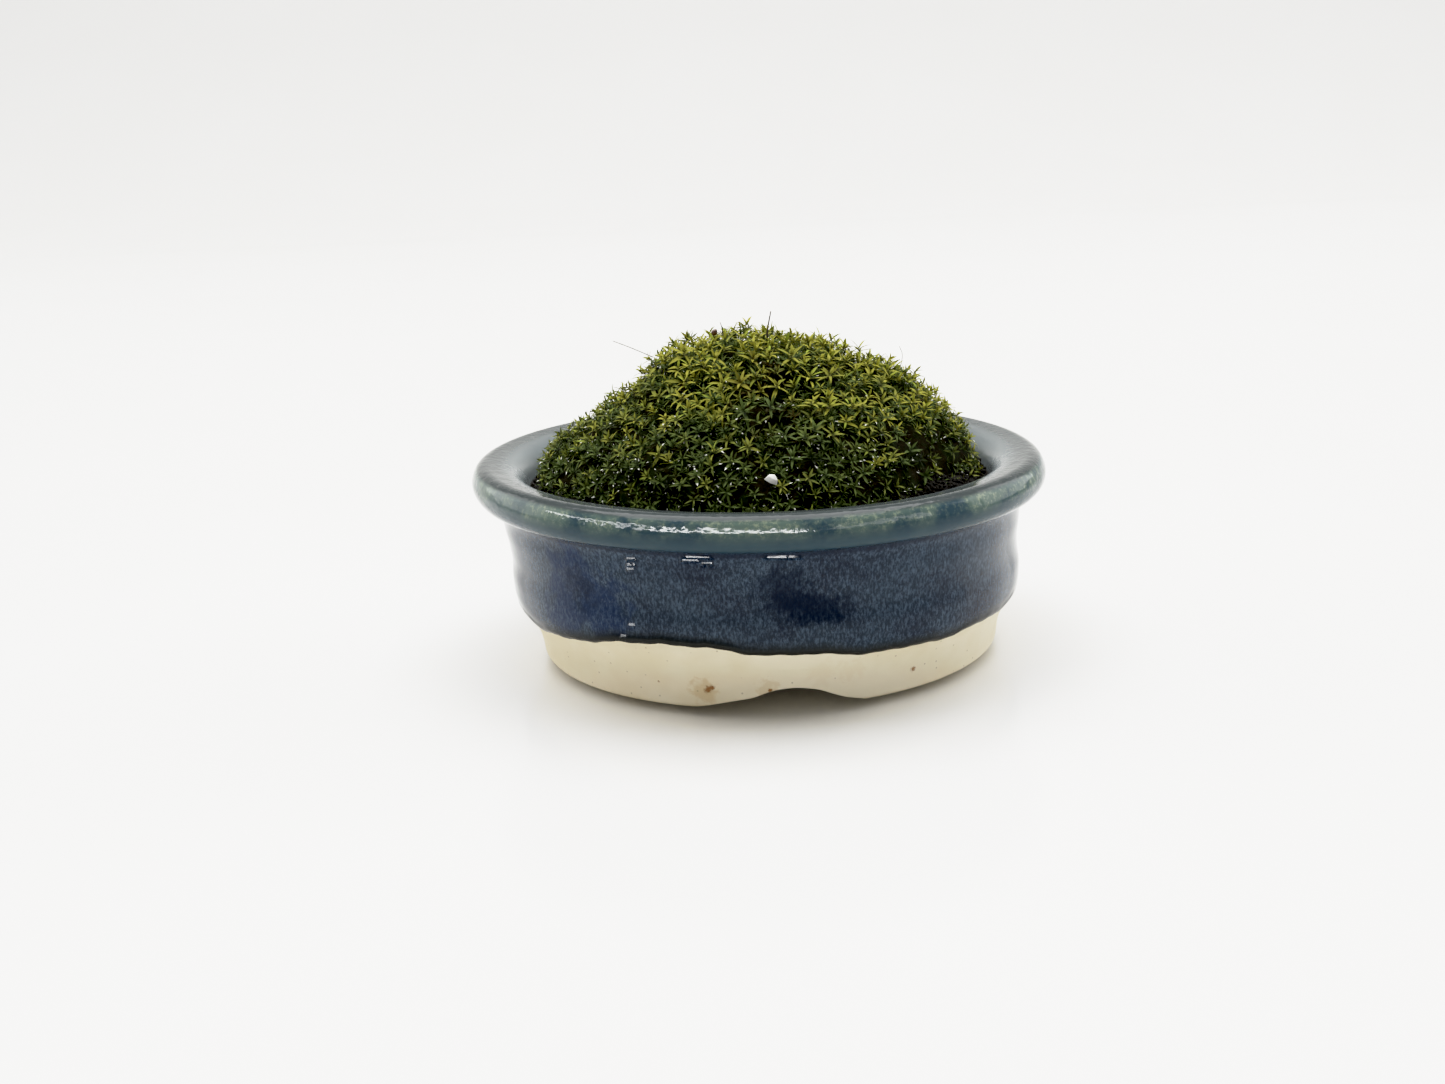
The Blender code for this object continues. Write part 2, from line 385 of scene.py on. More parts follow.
@dataclass(frozen=True)
class GlazeFinish:
    """Dark blue glaze with milky flecks that ran down, breaking to grey green on the lip.

    A sag is a thin level ridge where the glaze ran: its direction in degrees, its height in
    millimetres, half its length in degrees, its rise to the right in millimetres a degree, and
    how steep it is. The ranges are of the way round the lip, 0 on the body and 1 on the inner
    wall, except painted_sheen_side, which is millimetres along X. The painted crease ranges
    darken the fold under the lip as painted shade, and painted_left_sheen is a painted sheen on
    the lip's left side.
    """

    deep: Colour = (0.0010, 0.0050, 0.0180)
    middle: Colour = (0.0105, 0.0215, 0.0370)
    milk: Colour = (0.0850, 0.1250, 0.1800)
    lip_green: Colour = (0.086, 0.124, 0.106)
    lip_pale: Colour = (0.260, 0.300, 0.210)
    lip_blue: Colour = (0.023, 0.048, 0.065)
    # Painted sheen on the lip's left side, paler where the light grazes it.
    painted_left_sheen: Colour = (0.270, 0.310, 0.270)
    lip_top: Colour = (0.036, 0.044, 0.045)
    inner_wall: Colour = (0.135, 0.155, 0.160)
    edge: Colour = (0.010, 0.011, 0.008)
    navy: Colour = (0.0030, 0.0150, 0.0520)
    pit: Colour = (0.002, 0.002, 0.003)
    navy_spots: tuple[Spot, ...] = (
        ((-24.5, -26.8, 18.0), 5.0, 1.0), ((-20.5, -29.0, 14.0), 4.0, 1.0),
        ((-26.5, -23.5, 12.5), 4.0, 1.0),
    )
    dark_spots: tuple[Spot, ...] = (
        ((1.8, -35.9, 15.9), 2.0, 0.85), ((3.8, -35.6, 15.5), 1.9, 1.0),
        ((5.8, -35.2, 15.1), 1.8, 1.0), ((7.8, -34.8, 14.9), 1.7, 0.9),
        ((9.7, -34.3, 14.8), 1.5, 0.5), ((-0.4, -36.1, 17.4), 2.6, 0.5),
        ((1.6, -36.2, 18.4), 2.6, 0.6), ((3.4, -36.0, 17.2), 2.6, 0.6),
        ((-24.4, -26.6, 17.0), 2.6, 0.55),
    )
    pits: tuple[Spot, ...] = (
        ((28.3, -22.5, 15.0), 0.5, 1.0), ((-30.7, -17.5, 21.5), 0.5, 1.0),
        ((34.2, -15.0, 21.4), 0.5, 1.0),
    )
    sags: tuple[tuple[float, float, float, float, float], ...] = (
        (-117.8, 21.6, 1.5, 0.055, 2.65), (-118.1, 20.75, 1.4, 0.055, 1.83),
        (-118.4, 20.2, 1.2, 0.055, 1.66), (-103.7, 22.42, 3.8, 0.012, 3.08),
        (-105.2, 21.85, 2.4, 0.015, 2.75), (-101.9, 21.4, 1.5, 0.010, 2.35),
        (-87.3, 22.2, 4.6, -0.038, 2.97), (-119.2, 12.7, 1.0, 0.065, 1.36),
        (-121.4, 11.1, 0.9, 0.070, 0.77),
    )
    sag_depth: float = 0.132
    sag_flank: float = 0.36
    sag_full_share: float = 0.6
    wave_depth: float = 0.06
    grain_depth: float = 0.018
    pimple_depth: float = 0.035
    milk_stretch: Point = (1.0, 1.0, 0.45)
    milk_on_navy: float = 0.60
    milk_on_dark: float = 0.40
    navy_dullness: float = 0.4
    refraction: float = 1.23
    shine: float = 0.50
    dull_shine: float = 0.20
    calm_start: Range = (0.00, 0.25)
    pimple_start: Range = (0.20, 0.40)
    # Painted shade in the fold under the lip.
    painted_crease_start: Range = (0.00, 0.05)
    painted_crease_end: Range = (0.10, 0.22)
    green_start: Range = (0.05, 0.20)
    blue_end: Range = (0.25, 0.47)
    pale_start: Range = (0.30, 0.46)
    # Painted sheen: where on the lip, and how far along X, the left side is paled.
    painted_sheen_start: Range = (0.20, 0.50)
    painted_sheen_side: Range = (-38.0, -22.0)
    top_start: Range = (0.50, 0.58)
    wall_start: Range = (0.68, 0.95)

    def material(self) -> bpy.types.Material:
        """Makes the glaze. It reads the pot's marks: height over the edge, and way round the lip.

        Returns:
            The glaze's material.
        """
        recipe = Recipe("blue glaze")
        above_edge, round_lip, _, _ = recipe.marks("glaze_marks")
        flecks = recipe.clouds(0.32, 5.0, 0.8, recipe.stretched(self.milk_stretch))
        patches = recipe.clouds(9.0, 4.0, 0.6)
        cover = recipe.fade(patches, 0.30, 0.65, 0.50, 0.85)
        milky = recipe.times(recipe.fade(flecks, 0.42, 0.66), cover)
        colour = recipe.blend(recipe.fade(patches, 0.3, 0.6), self.deep, self.middle)
        dull: object = 0.0
        for centre, radius, strength in self.navy_spots:
            reach = recipe.times(recipe.spot(centre, radius, 0.8), strength)
            colour = recipe.blend(reach, colour, self.navy)
            milky = recipe.times(milky, recipe.fade(reach, 0.0, 1.0, 1.0, self.milk_on_navy))
            duller = recipe.fade(reach, 0.0, 1.0, 0.0, self.navy_dullness)
            dull = recipe.sums("MAXIMUM", dull, duller)
        for centre, radius, strength in self.dark_spots:
            reach = recipe.times(recipe.spot(centre, radius, 0.9), strength)
            colour = recipe.blend(reach, colour, self.deep)
            milky = recipe.times(milky, recipe.fade(reach, 0.0, 1.0, 1.0, self.milk_on_dark))
            dull = recipe.sums("MAXIMUM", dull, reach)
        colour = recipe.blend(milky, colour, self.milk)
        colour = recipe.spotted(colour, self.pit, self.pits, 0.2)
        colour = recipe.blend(recipe.fade(above_edge, 0.04, 0.22, 1.0, 0.0), colour, self.edge)
        colour = self.lip(recipe, colour, round_lip)
        calm = recipe.fade(round_lip, *self.calm_start, 0.25, 1.0)
        waves = recipe.relief(recipe.times(recipe.clouds(1.8, 3.0), calm), self.wave_depth)
        grain = recipe.relief(recipe.times(recipe.clouds(0.6, 2.0), calm), self.grain_depth, waves)
        pimples = recipe.fade(round_lip, *self.pimple_start)
        pimples = recipe.times(recipe.clouds(0.85, 1.0), pimples)
        grain = recipe.relief(pimples, self.pimple_depth, grain)
        ridges = self.ridges(recipe)
        rough = recipe.fade(flecks, 0.3, 0.7, 0.05, 0.11)
        rough = recipe.sums("ADD", rough, recipe.fade(ridges, 0.0, 0.4, 0.0, 0.04))
        return recipe.finished(
            Base_Color=colour, Roughness=rough, IOR=self.refraction,
            Normal=recipe.relief(ridges, self.sag_depth, grain),
            Specular_IOR_Level=recipe.fade(dull, 0.0, 1.0, self.shine, self.dull_shine),
        )

    def ridges(self, recipe: Recipe) -> bpy.types.NodeSocket:
        """Raises the sags, broken where the glaze is thin.

        Args:
            recipe: The glaze in the making.

        Returns:
            The sags' height, 1 for the top of one of steepness 1.
        """
        turn = recipe.sums("ARCTAN2", recipe.axis("Y"), recipe.axis("X"))
        upward = recipe.axis("Z")
        broken = recipe.fade(recipe.clouds(1.3, 2.0), 0.32, 0.37)
        total = None
        for degrees, height, half, rise, steepness in self.sags:
            apart = recipe.sums("SUBTRACT", turn, math.radians(degrees))
            slant = recipe.times(apart, math.degrees(1.0) * rise * MM)
            level = recipe.sums("SUBTRACT", recipe.sums("SUBTRACT", upward, height * MM), slant)
            away, aside = recipe.sums("ABSOLUTE", level), recipe.sums("ABSOLUTE", apart)
            across = recipe.fade(away, 0.0, self.sag_flank * MM, steepness, 0.0, "LINEAR")
            full = math.radians(half * self.sag_full_share)
            ridge = recipe.times(across, recipe.fade(aside, full, math.radians(half), 1.0, 0.0))
            total = recipe.sums("MAXIMUM", total, ridge) if total else ridge
        return recipe.times(total, broken)

    def lip(self, recipe: Recipe, colour: bpy.types.NodeSocket,
            round_lip: bpy.types.NodeSocket) -> bpy.types.NodeSocket:
        """Lays the lip's colours over the body's.

        Args:
            recipe: The glaze in the making.
            colour: The body's colour.
            round_lip: The way round the lip, 0 on the body, 1 past its top.

        Returns:
            The colour of body and lip.
        """
        drift = recipe.clouds(6.0, 3.0, 0.6)
        speckle = recipe.clouds(0.7, 5.0, 0.75)
        green = recipe.blend(recipe.fade(drift, 0.38, 0.62), self.lip_blue, self.lip_green)
        bluer = recipe.fade(round_lip, *self.blue_end, 0.9, 0.0)
        green = recipe.blend(bluer, green, self.lip_blue)
        pale = recipe.fade(speckle, 0.46, 0.72)
        pale = recipe.times(pale, recipe.fade(round_lip, *self.pale_start))
        pale = recipe.times(pale, recipe.fade(drift, 0.40, 0.62, 0.25, 0.9))
        green = recipe.blend(pale, green, self.lip_pale)
        # Painted sheen: the lip's left side is paled, as the grazing light shows it.
        left, right = (side * MM for side in self.painted_sheen_side)
        thin = recipe.fade(recipe.axis("X"), left, right, 0.42, 0.0)
        thin = recipe.times(thin, recipe.fade(round_lip, *self.painted_sheen_start))
        green = recipe.blend(thin, green, self.painted_left_sheen)
        colour = recipe.blend(recipe.fade(round_lip, *self.green_start), colour, green)
        # Painted shade: the fold where the lip meets the body is darkened with the deep colour.
        painted_crease = recipe.fade(round_lip, *self.painted_crease_start)
        painted_crease = recipe.times(painted_crease, recipe.fade(round_lip, *self.painted_crease_end, 0.7, 0.0))
        colour = recipe.blend(painted_crease, colour, self.deep)
        colour = recipe.blend(recipe.fade(round_lip, *self.top_start), colour, self.lip_top)
        return recipe.blend(recipe.fade(round_lip, *self.wall_start), colour, self.inner_wall)


@dataclass(frozen=True)
class ClayFinish:
    """Bare cream clay, fired pale, with a few rusty iron spots."""

    cream: Colour = (0.775, 0.675, 0.475)
    pale: Colour = (0.840, 0.760, 0.575)
    rust: Colour = (0.270, 0.120, 0.030)
    smudge: Colour = (0.560, 0.370, 0.140)
    speck: Colour = (0.300, 0.230, 0.140)
    spots: tuple[Spot, ...] = (
        ((-8.1, -31.3, 3.9), 0.60, 1.0), ((-7.6, -31.6, 4.2), 0.38, 1.0),
        ((18.3, -27.2, 4.1), 0.45, 1.0), ((-0.3, -32.4, 3.75), 0.30, 1.0),
        ((9.7, -31.7, 6.8), 0.22, 1.0), ((-14.4, -29.0, 4.5), 0.20, 1.0),
        ((24.8, 22.0, 5.0), 0.60, 1.0), ((-19.2, 25.0, 3.5), 0.40, 1.0),
    )
    smears: tuple[Spot, ...] = (
        ((-8.9, -31.2, 3.8), 1.6, 0.45), ((-0.5, -32.4, 3.9), 1.3, 0.32),
        ((6.5, -32.3, 6.2), 2.0, 0.10), ((9.9, -31.5, 6.0), 1.6, 0.12),
        ((22.0, 24.0, 6.0), 2.5, 0.20),
    )
    pore_depth: float = 0.03
    ring_depth: float = 0.05
    ring_stretch: Point = (0.05, 0.05, 1.0)

    def material(self) -> bpy.types.Material:
        """Makes the clay, with its spots where the fired foot has them.

        Returns:
            The clay's material.
        """
        recipe = Recipe("bare clay")
        drift = recipe.clouds(11.0, 3.0, 0.55)
        colour = recipe.blend(recipe.fade(drift, 0.35, 0.65), self.cream, self.pale)
        colour = recipe.spotted(colour, self.smudge, self.smears, 0.9)
        colour = recipe.spotted(colour, self.rust, self.spots)
        specks = recipe.fade(recipe.cells(1.6), 0.05, 0.11, 0.55, 0.0)
        colour = recipe.blend(specks, colour, self.speck)
        pores = recipe.relief(recipe.clouds(0.4, 4.0, 0.6), self.pore_depth)
        turning = recipe.clouds(0.9, 2.0, 0.5, recipe.stretched(self.ring_stretch))
        rings = recipe.relief(turning, self.ring_depth, pores)
        return recipe.finished(
            Base_Color=colour, Roughness=0.62, Normal=rings, Specular_IOR_Level=0.2,
        )


@dataclass(frozen=True)
class SoilFinish:
    """Damp soil, almost black, with a few paler grains and wet glints."""

    dark: Colour = (0.003, 0.0025, 0.002)
    brown: Colour = (0.012, 0.009, 0.006)
    grain: Colour = (0.080, 0.070, 0.055)
    crumb_depth: float = 0.4

    def material(self) -> bpy.types.Material:
        """Makes the soil.

        Returns:
            The soil's material.
        """
        recipe = Recipe("damp soil")
        browner = recipe.fade(recipe.clouds(1.4, 5.0, 0.6), 0.35, 0.7)
        colour = recipe.blend(browner, self.dark, self.brown)
        grains = recipe.fade(recipe.cells(0.9), 0.08, 0.14, 0.8, 0.0)
        colour = recipe.blend(grains, colour, self.grain)
        crumbs = recipe.relief(recipe.clouds(0.6, 5.0, 0.7), self.crumb_depth)
        rough = recipe.fade(recipe.clouds(1.1, 2.0), 0.35, 0.65, 0.25, 0.8)
        return recipe.finished(
            Base_Color=colour, Roughness=rough, Normal=crumbs, Specular_IOR_Level=0.08,
        )


@dataclass(frozen=True)
class MatFinish:
    """The inside of the cushion: old brown stems and leaf bases, seen between the shoots, painted
    near black as the shade among them.
    """

    # Old stems' brown and green, darkened to near black as painted shade.
    dark: Colour = (0.005, 0.005, 0.002)
    brown: Colour = (0.014, 0.010, 0.004)
    green: Colour = (0.009, 0.013, 0.004)
    stem_depth: float = 0.35

    def material(self) -> bpy.types.Material:
        """Makes the mat's finish.

        Returns:
            The mat's material.
        """
        recipe = Recipe("old stems")
        browner = recipe.fade(recipe.clouds(0.5, 4.0, 0.7), 0.4, 0.7)
        colour = recipe.blend(browner, self.dark, self.brown)
        colour = recipe.blend(recipe.fade(recipe.clouds(2.4), 0.45, 0.65), colour, self.green)
        stems = recipe.relief(recipe.clouds(0.35, 5.0, 0.7), self.stem_depth)
        return recipe.finished(
            Base_Color=colour, Roughness=0.7, Normal=stems, Specular_IOR_Level=0.02,
        )


@dataclass(frozen=True)
class LeafFinish:
    """Thin wet moss leaves, painted yellow green where light falls on them and blue green in the
    shade.
    """

    # Painted light and shade: deep, shade and sun are shaded and lit copies of the leaf's colour.
    deep: Colour = (0.008, 0.011, 0.004)
    shade_base: Colour = (0.020, 0.030, 0.010)
    shade_tip: Colour = (0.073, 0.100, 0.030)
    sun_base: Colour = (0.070, 0.072, 0.012)
    sun_tip: Colour = (0.285, 0.276, 0.042)
    fresh: Colour = (0.255, 0.330, 0.048)
    dry: Colour = (0.066, 0.044, 0.015)
    # Painted glint: the pale colour of a few wet leaf tips.
    pale: Colour = (0.940, 0.940, 0.860)
    see_through: float = 0.16
    vein_depth: float = 0.01
    painted_glint_heights: Range = (30.0, 40.0)
    painted_glint_shares: Range = (0.090, 0.003)
    painted_glint_tip: Range = (0.68, 0.80)

    def material(self) -> bpy.types.Material:
        """Makes the leaves' finish. It reads their marks: along the leaf, its painted light, tone
        and age.

        A few of the leaves have pale tips, painted glints of wet leaves, more of them low on the
        cushion than high.

        Returns:
            The leaves' material.
        """
        recipe = Recipe("moss leaf")
        along, sun, tone, age = recipe.marks("leaf_marks")
        # Painted shade and light: each leaf is painted darker at its base, as the shade deep in
        # the shoot, and takes the shaded or the sunny colour by its painted light.
        lit = recipe.fade(along, 0.0, 0.45)
        shaded = recipe.blend(lit, self.shade_base, self.shade_tip)
        sunny = recipe.blend(lit, self.sun_base, self.sun_tip)
        colour = recipe.blend(recipe.fade(sun, 0.25, 0.95), shaded, sunny)
        fresh = recipe.times(recipe.fade(tone, 0.7, 1.0, 0.0, 0.75), recipe.fade(sun, 0.3, 0.8))
        colour = recipe.blend(recipe.times(fresh, lit), colour, self.fresh)
        colour = recipe.blend(recipe.fade(age, 0.55, 1.0, 0.0, 0.9), colour, self.dry)
        # Painted shade: leaves with little painted light are laid over with the deep colour.
        colour = recipe.blend(recipe.fade(sun, 0.0, 0.18, 1.0, 0.0), colour, self.deep)
        # Painted glints: a few leaf tips, more of them low on the cushion, take the pale colour.
        low, high = (height * MM for height in self.painted_glint_heights)
        share = recipe.fade(recipe.axis("Z"), low, high, *self.painted_glint_shares)
        wet = recipe.sums("LESS_THAN", tone, share)
        ends = recipe.times(recipe.fade(along, *self.painted_glint_tip), wet)
        colour = recipe.blend(ends, colour, self.pale)
        rough = recipe.fade(recipe.clouds(0.7, 2.0), 0.35, 0.65, 0.25, 0.5)
        veins = recipe.relief(recipe.clouds(0.12, 2.0), self.vein_depth)
        recipe.finished(Base_Color=colour, Roughness=rough, Normal=veins, Specular_IOR_Level=0.03)
        through = recipe.node("ShaderNodeBsdfTranslucent", {"Color": colour})
        mixed = recipe.node("ShaderNodeMixShader", {
            0: self.see_through, 1: recipe.surface.outputs[0], 2: through.outputs[0],
        })
        recipe.feed(recipe.output.inputs["Surface"], mixed.outputs[0])
        return recipe.material


@dataclass(frozen=True)
class PlainFinish:
    """A finish with two close tones and a fine grain, for the small loose things."""

    name: str
    first: Colour
    second: Colour
    size: float
    roughness: float
    depth: float = 0.02
    gloss: float = 0.5

    def material(self) -> bpy.types.Material:
        """Makes the finish from its own tones and grain.

        Returns:
            The material.
        """
        recipe = Recipe(self.name)
        spread = recipe.fade(recipe.clouds(self.size, 4.0, 0.6), 0.35, 0.65)
        colour = recipe.blend(spread, self.first, self.second)
        grain = recipe.relief(recipe.clouds(self.size * 0.5, 3.0), self.depth)
        return recipe.finished(
            Base_Color=colour, Roughness=self.roughness, Normal=grain,
            Specular_IOR_Level=self.gloss,
        )


def finish_piece(name: str, mesh: bpy.types.Mesh,
                 replaced: Sequence[str] = ()) -> bpy.types.Object:
    """Makes a mesh a piece of the object.

    Args:
        name: The piece's name.
        mesh: Its mesh, in metres.
        replaced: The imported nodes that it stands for.

    Returns:
        The piece.
    """
    mesh.name = name
    piece = bpy.data.objects.new(name, mesh)
    bpy.context.scene.collection.objects.link(piece)
    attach(piece, "root")
    if replaced:
        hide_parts(*replaced)
    LOG.info("%s: %d faces", name, len(mesh.polygons))
    return piece


def mesh_of(builder: bmesh.types.BMesh, materials: Iterable[bpy.types.Material],
            sharp: float = 180.0) -> bpy.types.Mesh:
    """A mesh in metres from a builder in millimetres.

    Args:
        builder: The shape, which is freed.
        materials: Its materials, in the order of its faces' indices.
        sharp: Edges sharper than this many degrees stay sharp.

    Returns:
        The mesh, shaded smooth.
    """
    bmesh.ops.scale(builder, vec=(MM, MM, MM), verts=builder.verts)
    mesh = bpy.data.meshes.new("shape")
    builder.to_mesh(mesh)
    builder.free()
    for material in materials:
        mesh.materials.append(material)
    mesh.shade_smooth()
    mesh.set_sharp_from_angle(angle=math.radians(sharp))
    return mesh


def set_marks(mesh: bpy.types.Mesh, name: str, marks: np.ndarray) -> None:
    """Stores four numbers for each vertex of the mesh as a colour attribute."""
    layer = mesh.color_attributes.new(name, "FLOAT_COLOR", "POINT")
    layer.data.foreach_set("color", marks.astype(np.float32).ravel())


class Stretch(IntEnum):
    """The stretches of the pot's outline, in order."""

    FOOT = 0
    BODY = 1
    LIP = 2
    INSIDE = 3
    UNDERSIDE = 4


@dataclass
class GlazedPot:
    """The pot: one turned and fired piece, dipped in glaze down to its bare foot.

    Lengths are in millimetres and angles in degrees. The marks of the lip say the way round it:
    where the stretch starts, and how much of the way it takes.
    """

    rim_radius: float = 40.0
    rim_height: float = 28.1
    lip_half_width: float = 2.2
    lip_half_height: float = 2.5
    lip_arc: Range = (-70.0, 100.0)
    lip_steps: int = 42
    lip_mark: Range = (0.10, 0.62)
    inside_mark: Range = (0.75, 1.0)
    neck_mark: float = 0.1
    neck_heights: Range = (21.9, 23.1)
    shoulder_angle: float = 24.0
    shoulder_width: float = 12.0
    shoulder_dip: float = 0.045
    body_radius: float = 35.6
    foot_radius: float = 32.3
    foot_edge_height: float = 1.5
    standing_radius: float = 27.0
    foot_inner_radius: float = 24.4
    underside_height: float = 4.4
    floor_height: float = 7.5
    inner_radius: float = 31.9
    drain_radius: float = 3.8
    segments: int = 448
    glaze_thickness: float = 0.22
    glaze_bead: float = 0.22
    bead_height: float = 0.55
    bead_width: float = 0.5
    mean_line: float = 8.8
    notch_angles: tuple[float, ...] = (-86.6, 33.4, 153.4)
    notch: tuple[tuple[float, float], ...] = (
        (-14.0, 0.5), (-12.0, 1.3), (-9.5, 1.9), (-7.3, 2.35), (-5.1, 2.75), (-3.0, 3.5),
        (-1.0, 3.85), (1.0, 3.85), (3.3, 3.4), (5.1, 2.65), (6.8, 2.0), (8.7, 1.45), (10.5, 0.5),
    )
    glaze_line: tuple[tuple[float, float], ...] = (
        (-180.0, 8.4), (-158.4, 8.1), (-153.0, 7.4), (-137.6, 8.7), (-124.0, 9.85), (-116.0, 10.6),
        (-110.0, 10.5), (-101.6, 10.1), (-92.4, 9.3), (-80.5, 8.9), (-67.3, 8.0), (-61.7, 7.9),
        (-47.0, 7.7), (-34.9, 8.1), (-26.8, 7.8), (-5.0, 8.6), (20.0, 9.7), (48.0, 8.6),
        (75.0, 8.2), (100.0, 9.4), (125.0, 9.9), (150.0, 8.3),
    )

    def foot(self) -> Outline:
        """Draws the standing ring, from its inner wall to the foot's outer lower edge.

        Returns:
            Its points.
        """
        inner, stand, outer = self.foot_inner_radius, self.standing_radius, self.foot_radius
        edge = self.foot_edge_height
        return spline([
            (inner, 1.0), (inner + 0.06, 0.3), (inner + 0.4, 0.0), (stand - 0.6, 0.0),
            (stand + 0.4, 0.08), (outer - 1.2, edge - 0.55), (outer - 0.35, edge - 0.25),
            (outer - 0.04, edge + 0.1),
        ], 4)

    def body(self) -> Outline:
        """Draws the outer wall, from the foot's lower edge to the lip.

        Returns:
            Its points.
        """
        foot, body, edge = self.foot_radius, self.body_radius, self.foot_edge_height
        neck = self.rim_height - 2 * self.lip_half_height
        return spline([
            (foot, edge + 0.25), (foot + 0.45, edge + 3.0), (foot + 1.5, edge + 5.5),
            (body - 0.4, edge + 8.0), (body, edge + 10.7), (body, edge + 14.0),
            (body + 0.5, edge + 17.5), (body + 0.9, edge + 20.0), (body + 1.6, neck),
        ], 10)

    def lip(self) -> Outline:
        """Draws the rolled lip, from under its outer edge over its top, flattened at its shoulder.

        Returns:
            Its points.
        """
        radii = (self.lip_half_width, self.lip_half_height)
        centre = (self.rim_radius - radii[0], self.rim_height - radii[1])
        outline = arc(centre, radii, *self.lip_arc, self.lip_steps)
        flat = []
        angles = np.linspace(*self.lip_arc, self.lip_steps + 1)
        for (radius, height), angle in zip(outline, angles):
            apart = (angle - self.shoulder_angle) / self.shoulder_width
            dip, turn = self.shoulder_dip * math.exp(-apart ** 2), math.radians(angle)
            flat.append((radius - dip * math.cos(turn), height - dip * math.sin(turn)))
        return flat

    def inside(self) -> Outline:
        """Draws the inner wall, from the lip down to the floor and the drain hole's edge.

        Returns:
            Its points.
        """
        inner, rim, floor = self.inner_radius, self.rim_height, self.floor_height
        wall = spline([
            (self.rim_radius - 3.9, rim - 0.24), (self.rim_radius - 5.6, rim - 0.7),
            (inner + 1.2, rim - 1.8), (inner + 0.5, rim - 3.3), (inner + 0.1, rim - 5.4),
            (inner - 0.3, 15.0), (inner - 1.6, 10.2), (inner - 5.4, floor),
        ], 4)
        return wall + [(self.drain_radius + 0.5, floor), (self.drain_radius, floor - 0.5)]

    def underside(self) -> Outline:
        """Draws the underside, from the drain hole to the standing ring.

        Returns:
            Its points.
        """
        low, ring = self.underside_height, self.foot_inner_radius
        return [
            (self.drain_radius, low + 0.4), (self.drain_radius + 0.4, low), (ring * 0.4, low),
            (ring * 0.7, low), (ring - 1.6, low), (ring - 0.9, low - 0.2), (ring - 0.4, low - 0.7),
            (ring - 0.1, low - 1.6),
        ]

    def line_height(self, angles: np.ndarray) -> np.ndarray:
        """Height of the glaze's lower edge.

        Args:
            angles: Directions round the pot, in degrees.

        Returns:
            The height at each, in millimetres.
        """
        turns, heights = zip(*self.glaze_line)
        shifts = (-3.0, 0.0, 3.0)
        spread = [np.interp(angles + shift, turns, heights, period=360.0) for shift in shifts]
        ring = np.radians(angles)
        ripple = 0.13 * np.sin(17 * ring + 1.0) + 0.09 * np.sin(31 * ring)
        ripple += 0.05 * np.sin(73 * ring + 2.0)
        return np.mean(spread, axis=0) + ripple

    @staticmethod
    def nearest_rows(radii: np.ndarray, heights: np.ndarray, outline: Outline) -> np.ndarray:
        """Finds which point of the outline each vertex was turned from.

        Args:
            radii: Distance of each vertex from the axis.
            heights: Height of each.
            outline: The outline's points.

        Returns:
            The point's number for each vertex.
        """
        rows = np.array(outline)
        batch = 4096
        found = []
        for at in range(0, len(radii), batch):
            across = radii[at:at + batch, None] - rows[:, 0]
            up = heights[at:at + batch, None] - rows[:, 1]
            found.append(np.argmin(across ** 2 + up ** 2, axis=1))
        return np.concatenate(found)

    def mesh(self) -> tuple[bmesh.types.BMesh, np.ndarray]:
        """Turns the pot, lets the glaze's edge wander and cuts the notches.

        Returns:
            The pot's shape, and for each vertex its marks for the glaze.
        """
        parts = [self.foot(), self.body(), self.lip(), self.inside(), self.underside()]
        outline = [point for part in parts for point in part]
        part_of = np.repeat(range(len(parts)), [len(part) for part in parts])
        way_round = np.concatenate([np.linspace(0.0, 1.0, len(part)) for part in parts])
        builder = turned(outline, self.segments)
        points = coordinates(builder)
        angles = np.arctan2(points[:, 1], points[:, 0])
        radii = np.hypot(points[:, 0], points[:, 1])
        nearest = self.nearest_rows(radii, points[:, 2], outline)
        part, way = part_of[nearest], way_round[nearest]
        wall = part == Stretch.BODY
        heights, radii, above = self.glazed_wall(points[:, 2], radii, np.degrees(angles), wall)
        heights = self.notched(heights, radii, angles, part)
        radii = radii + self.handmade(angles, heights) * (radii > self.inner_radius - 6.0)
        points = np.stack([radii * np.cos(angles), radii * np.sin(angles), heights], axis=1)
        move_to(builder, KILN.moved(points))
        self.dip(builder, part, above)
        round_lip = self.neck_mark * wall * smooth_step(heights, *self.neck_heights)
        marked = {Stretch.LIP: self.lip_mark, Stretch.INSIDE: self.inside_mark}
        for stretch, (start, taken) in marked.items():
            round_lip = np.where(part == stretch, start + taken * way, round_lip)
        marks = np.stack([above / 10, round_lip, wall, np.ones(len(part))], axis=1)
        return builder, np.clip(marks, 0.0, 1.0)

    def glazed_wall(self, heights: np.ndarray, radii: np.ndarray, degrees: np.ndarray,
                    wall: np.ndarray) -> tuple[np.ndarray, np.ndarray, np.ndarray]:
        """Slides the wall's rows so that one follows the glaze's edge, and lays the glaze on.

        Args:
            heights: Height of each vertex.
            radii: Distance of each from the axis.
            degrees: Direction of each, in degrees.
            wall: True for the vertices of the outer wall.

        Returns:
            The new heights and radii, and how far each vertex is above the glaze's edge.
        """
        low, high = self.foot_edge_height + 0.8, self.rim_height - 8.0
        far = 99.0
        profile = np.array(self.body())
        middle = float(profile[np.argmin(abs(profile[:, 1] - self.mean_line)), 1])
        line = self.line_height(degrees)
        reach = smooth_step(-heights, -high, -middle)
        reach = np.where(heights < middle, smooth_step(heights, low, middle), reach)
        slid = heights + wall * reach * (line - middle)
        above = np.where(wall, slid - line, far * (heights > middle))
        bead = self.glaze_bead * np.exp(-((above - self.bead_height) / self.bead_width) ** 2)
        coat = self.glaze_thickness * (1 - smooth_step(above, 2.0, 8.0)) + bead
        coat = np.where(above > 0.02, coat, 0.0)
        base = np.interp(slid, profile[:, 1], profile[:, 0])
        return slid, np.where(wall, base + coat, radii), above

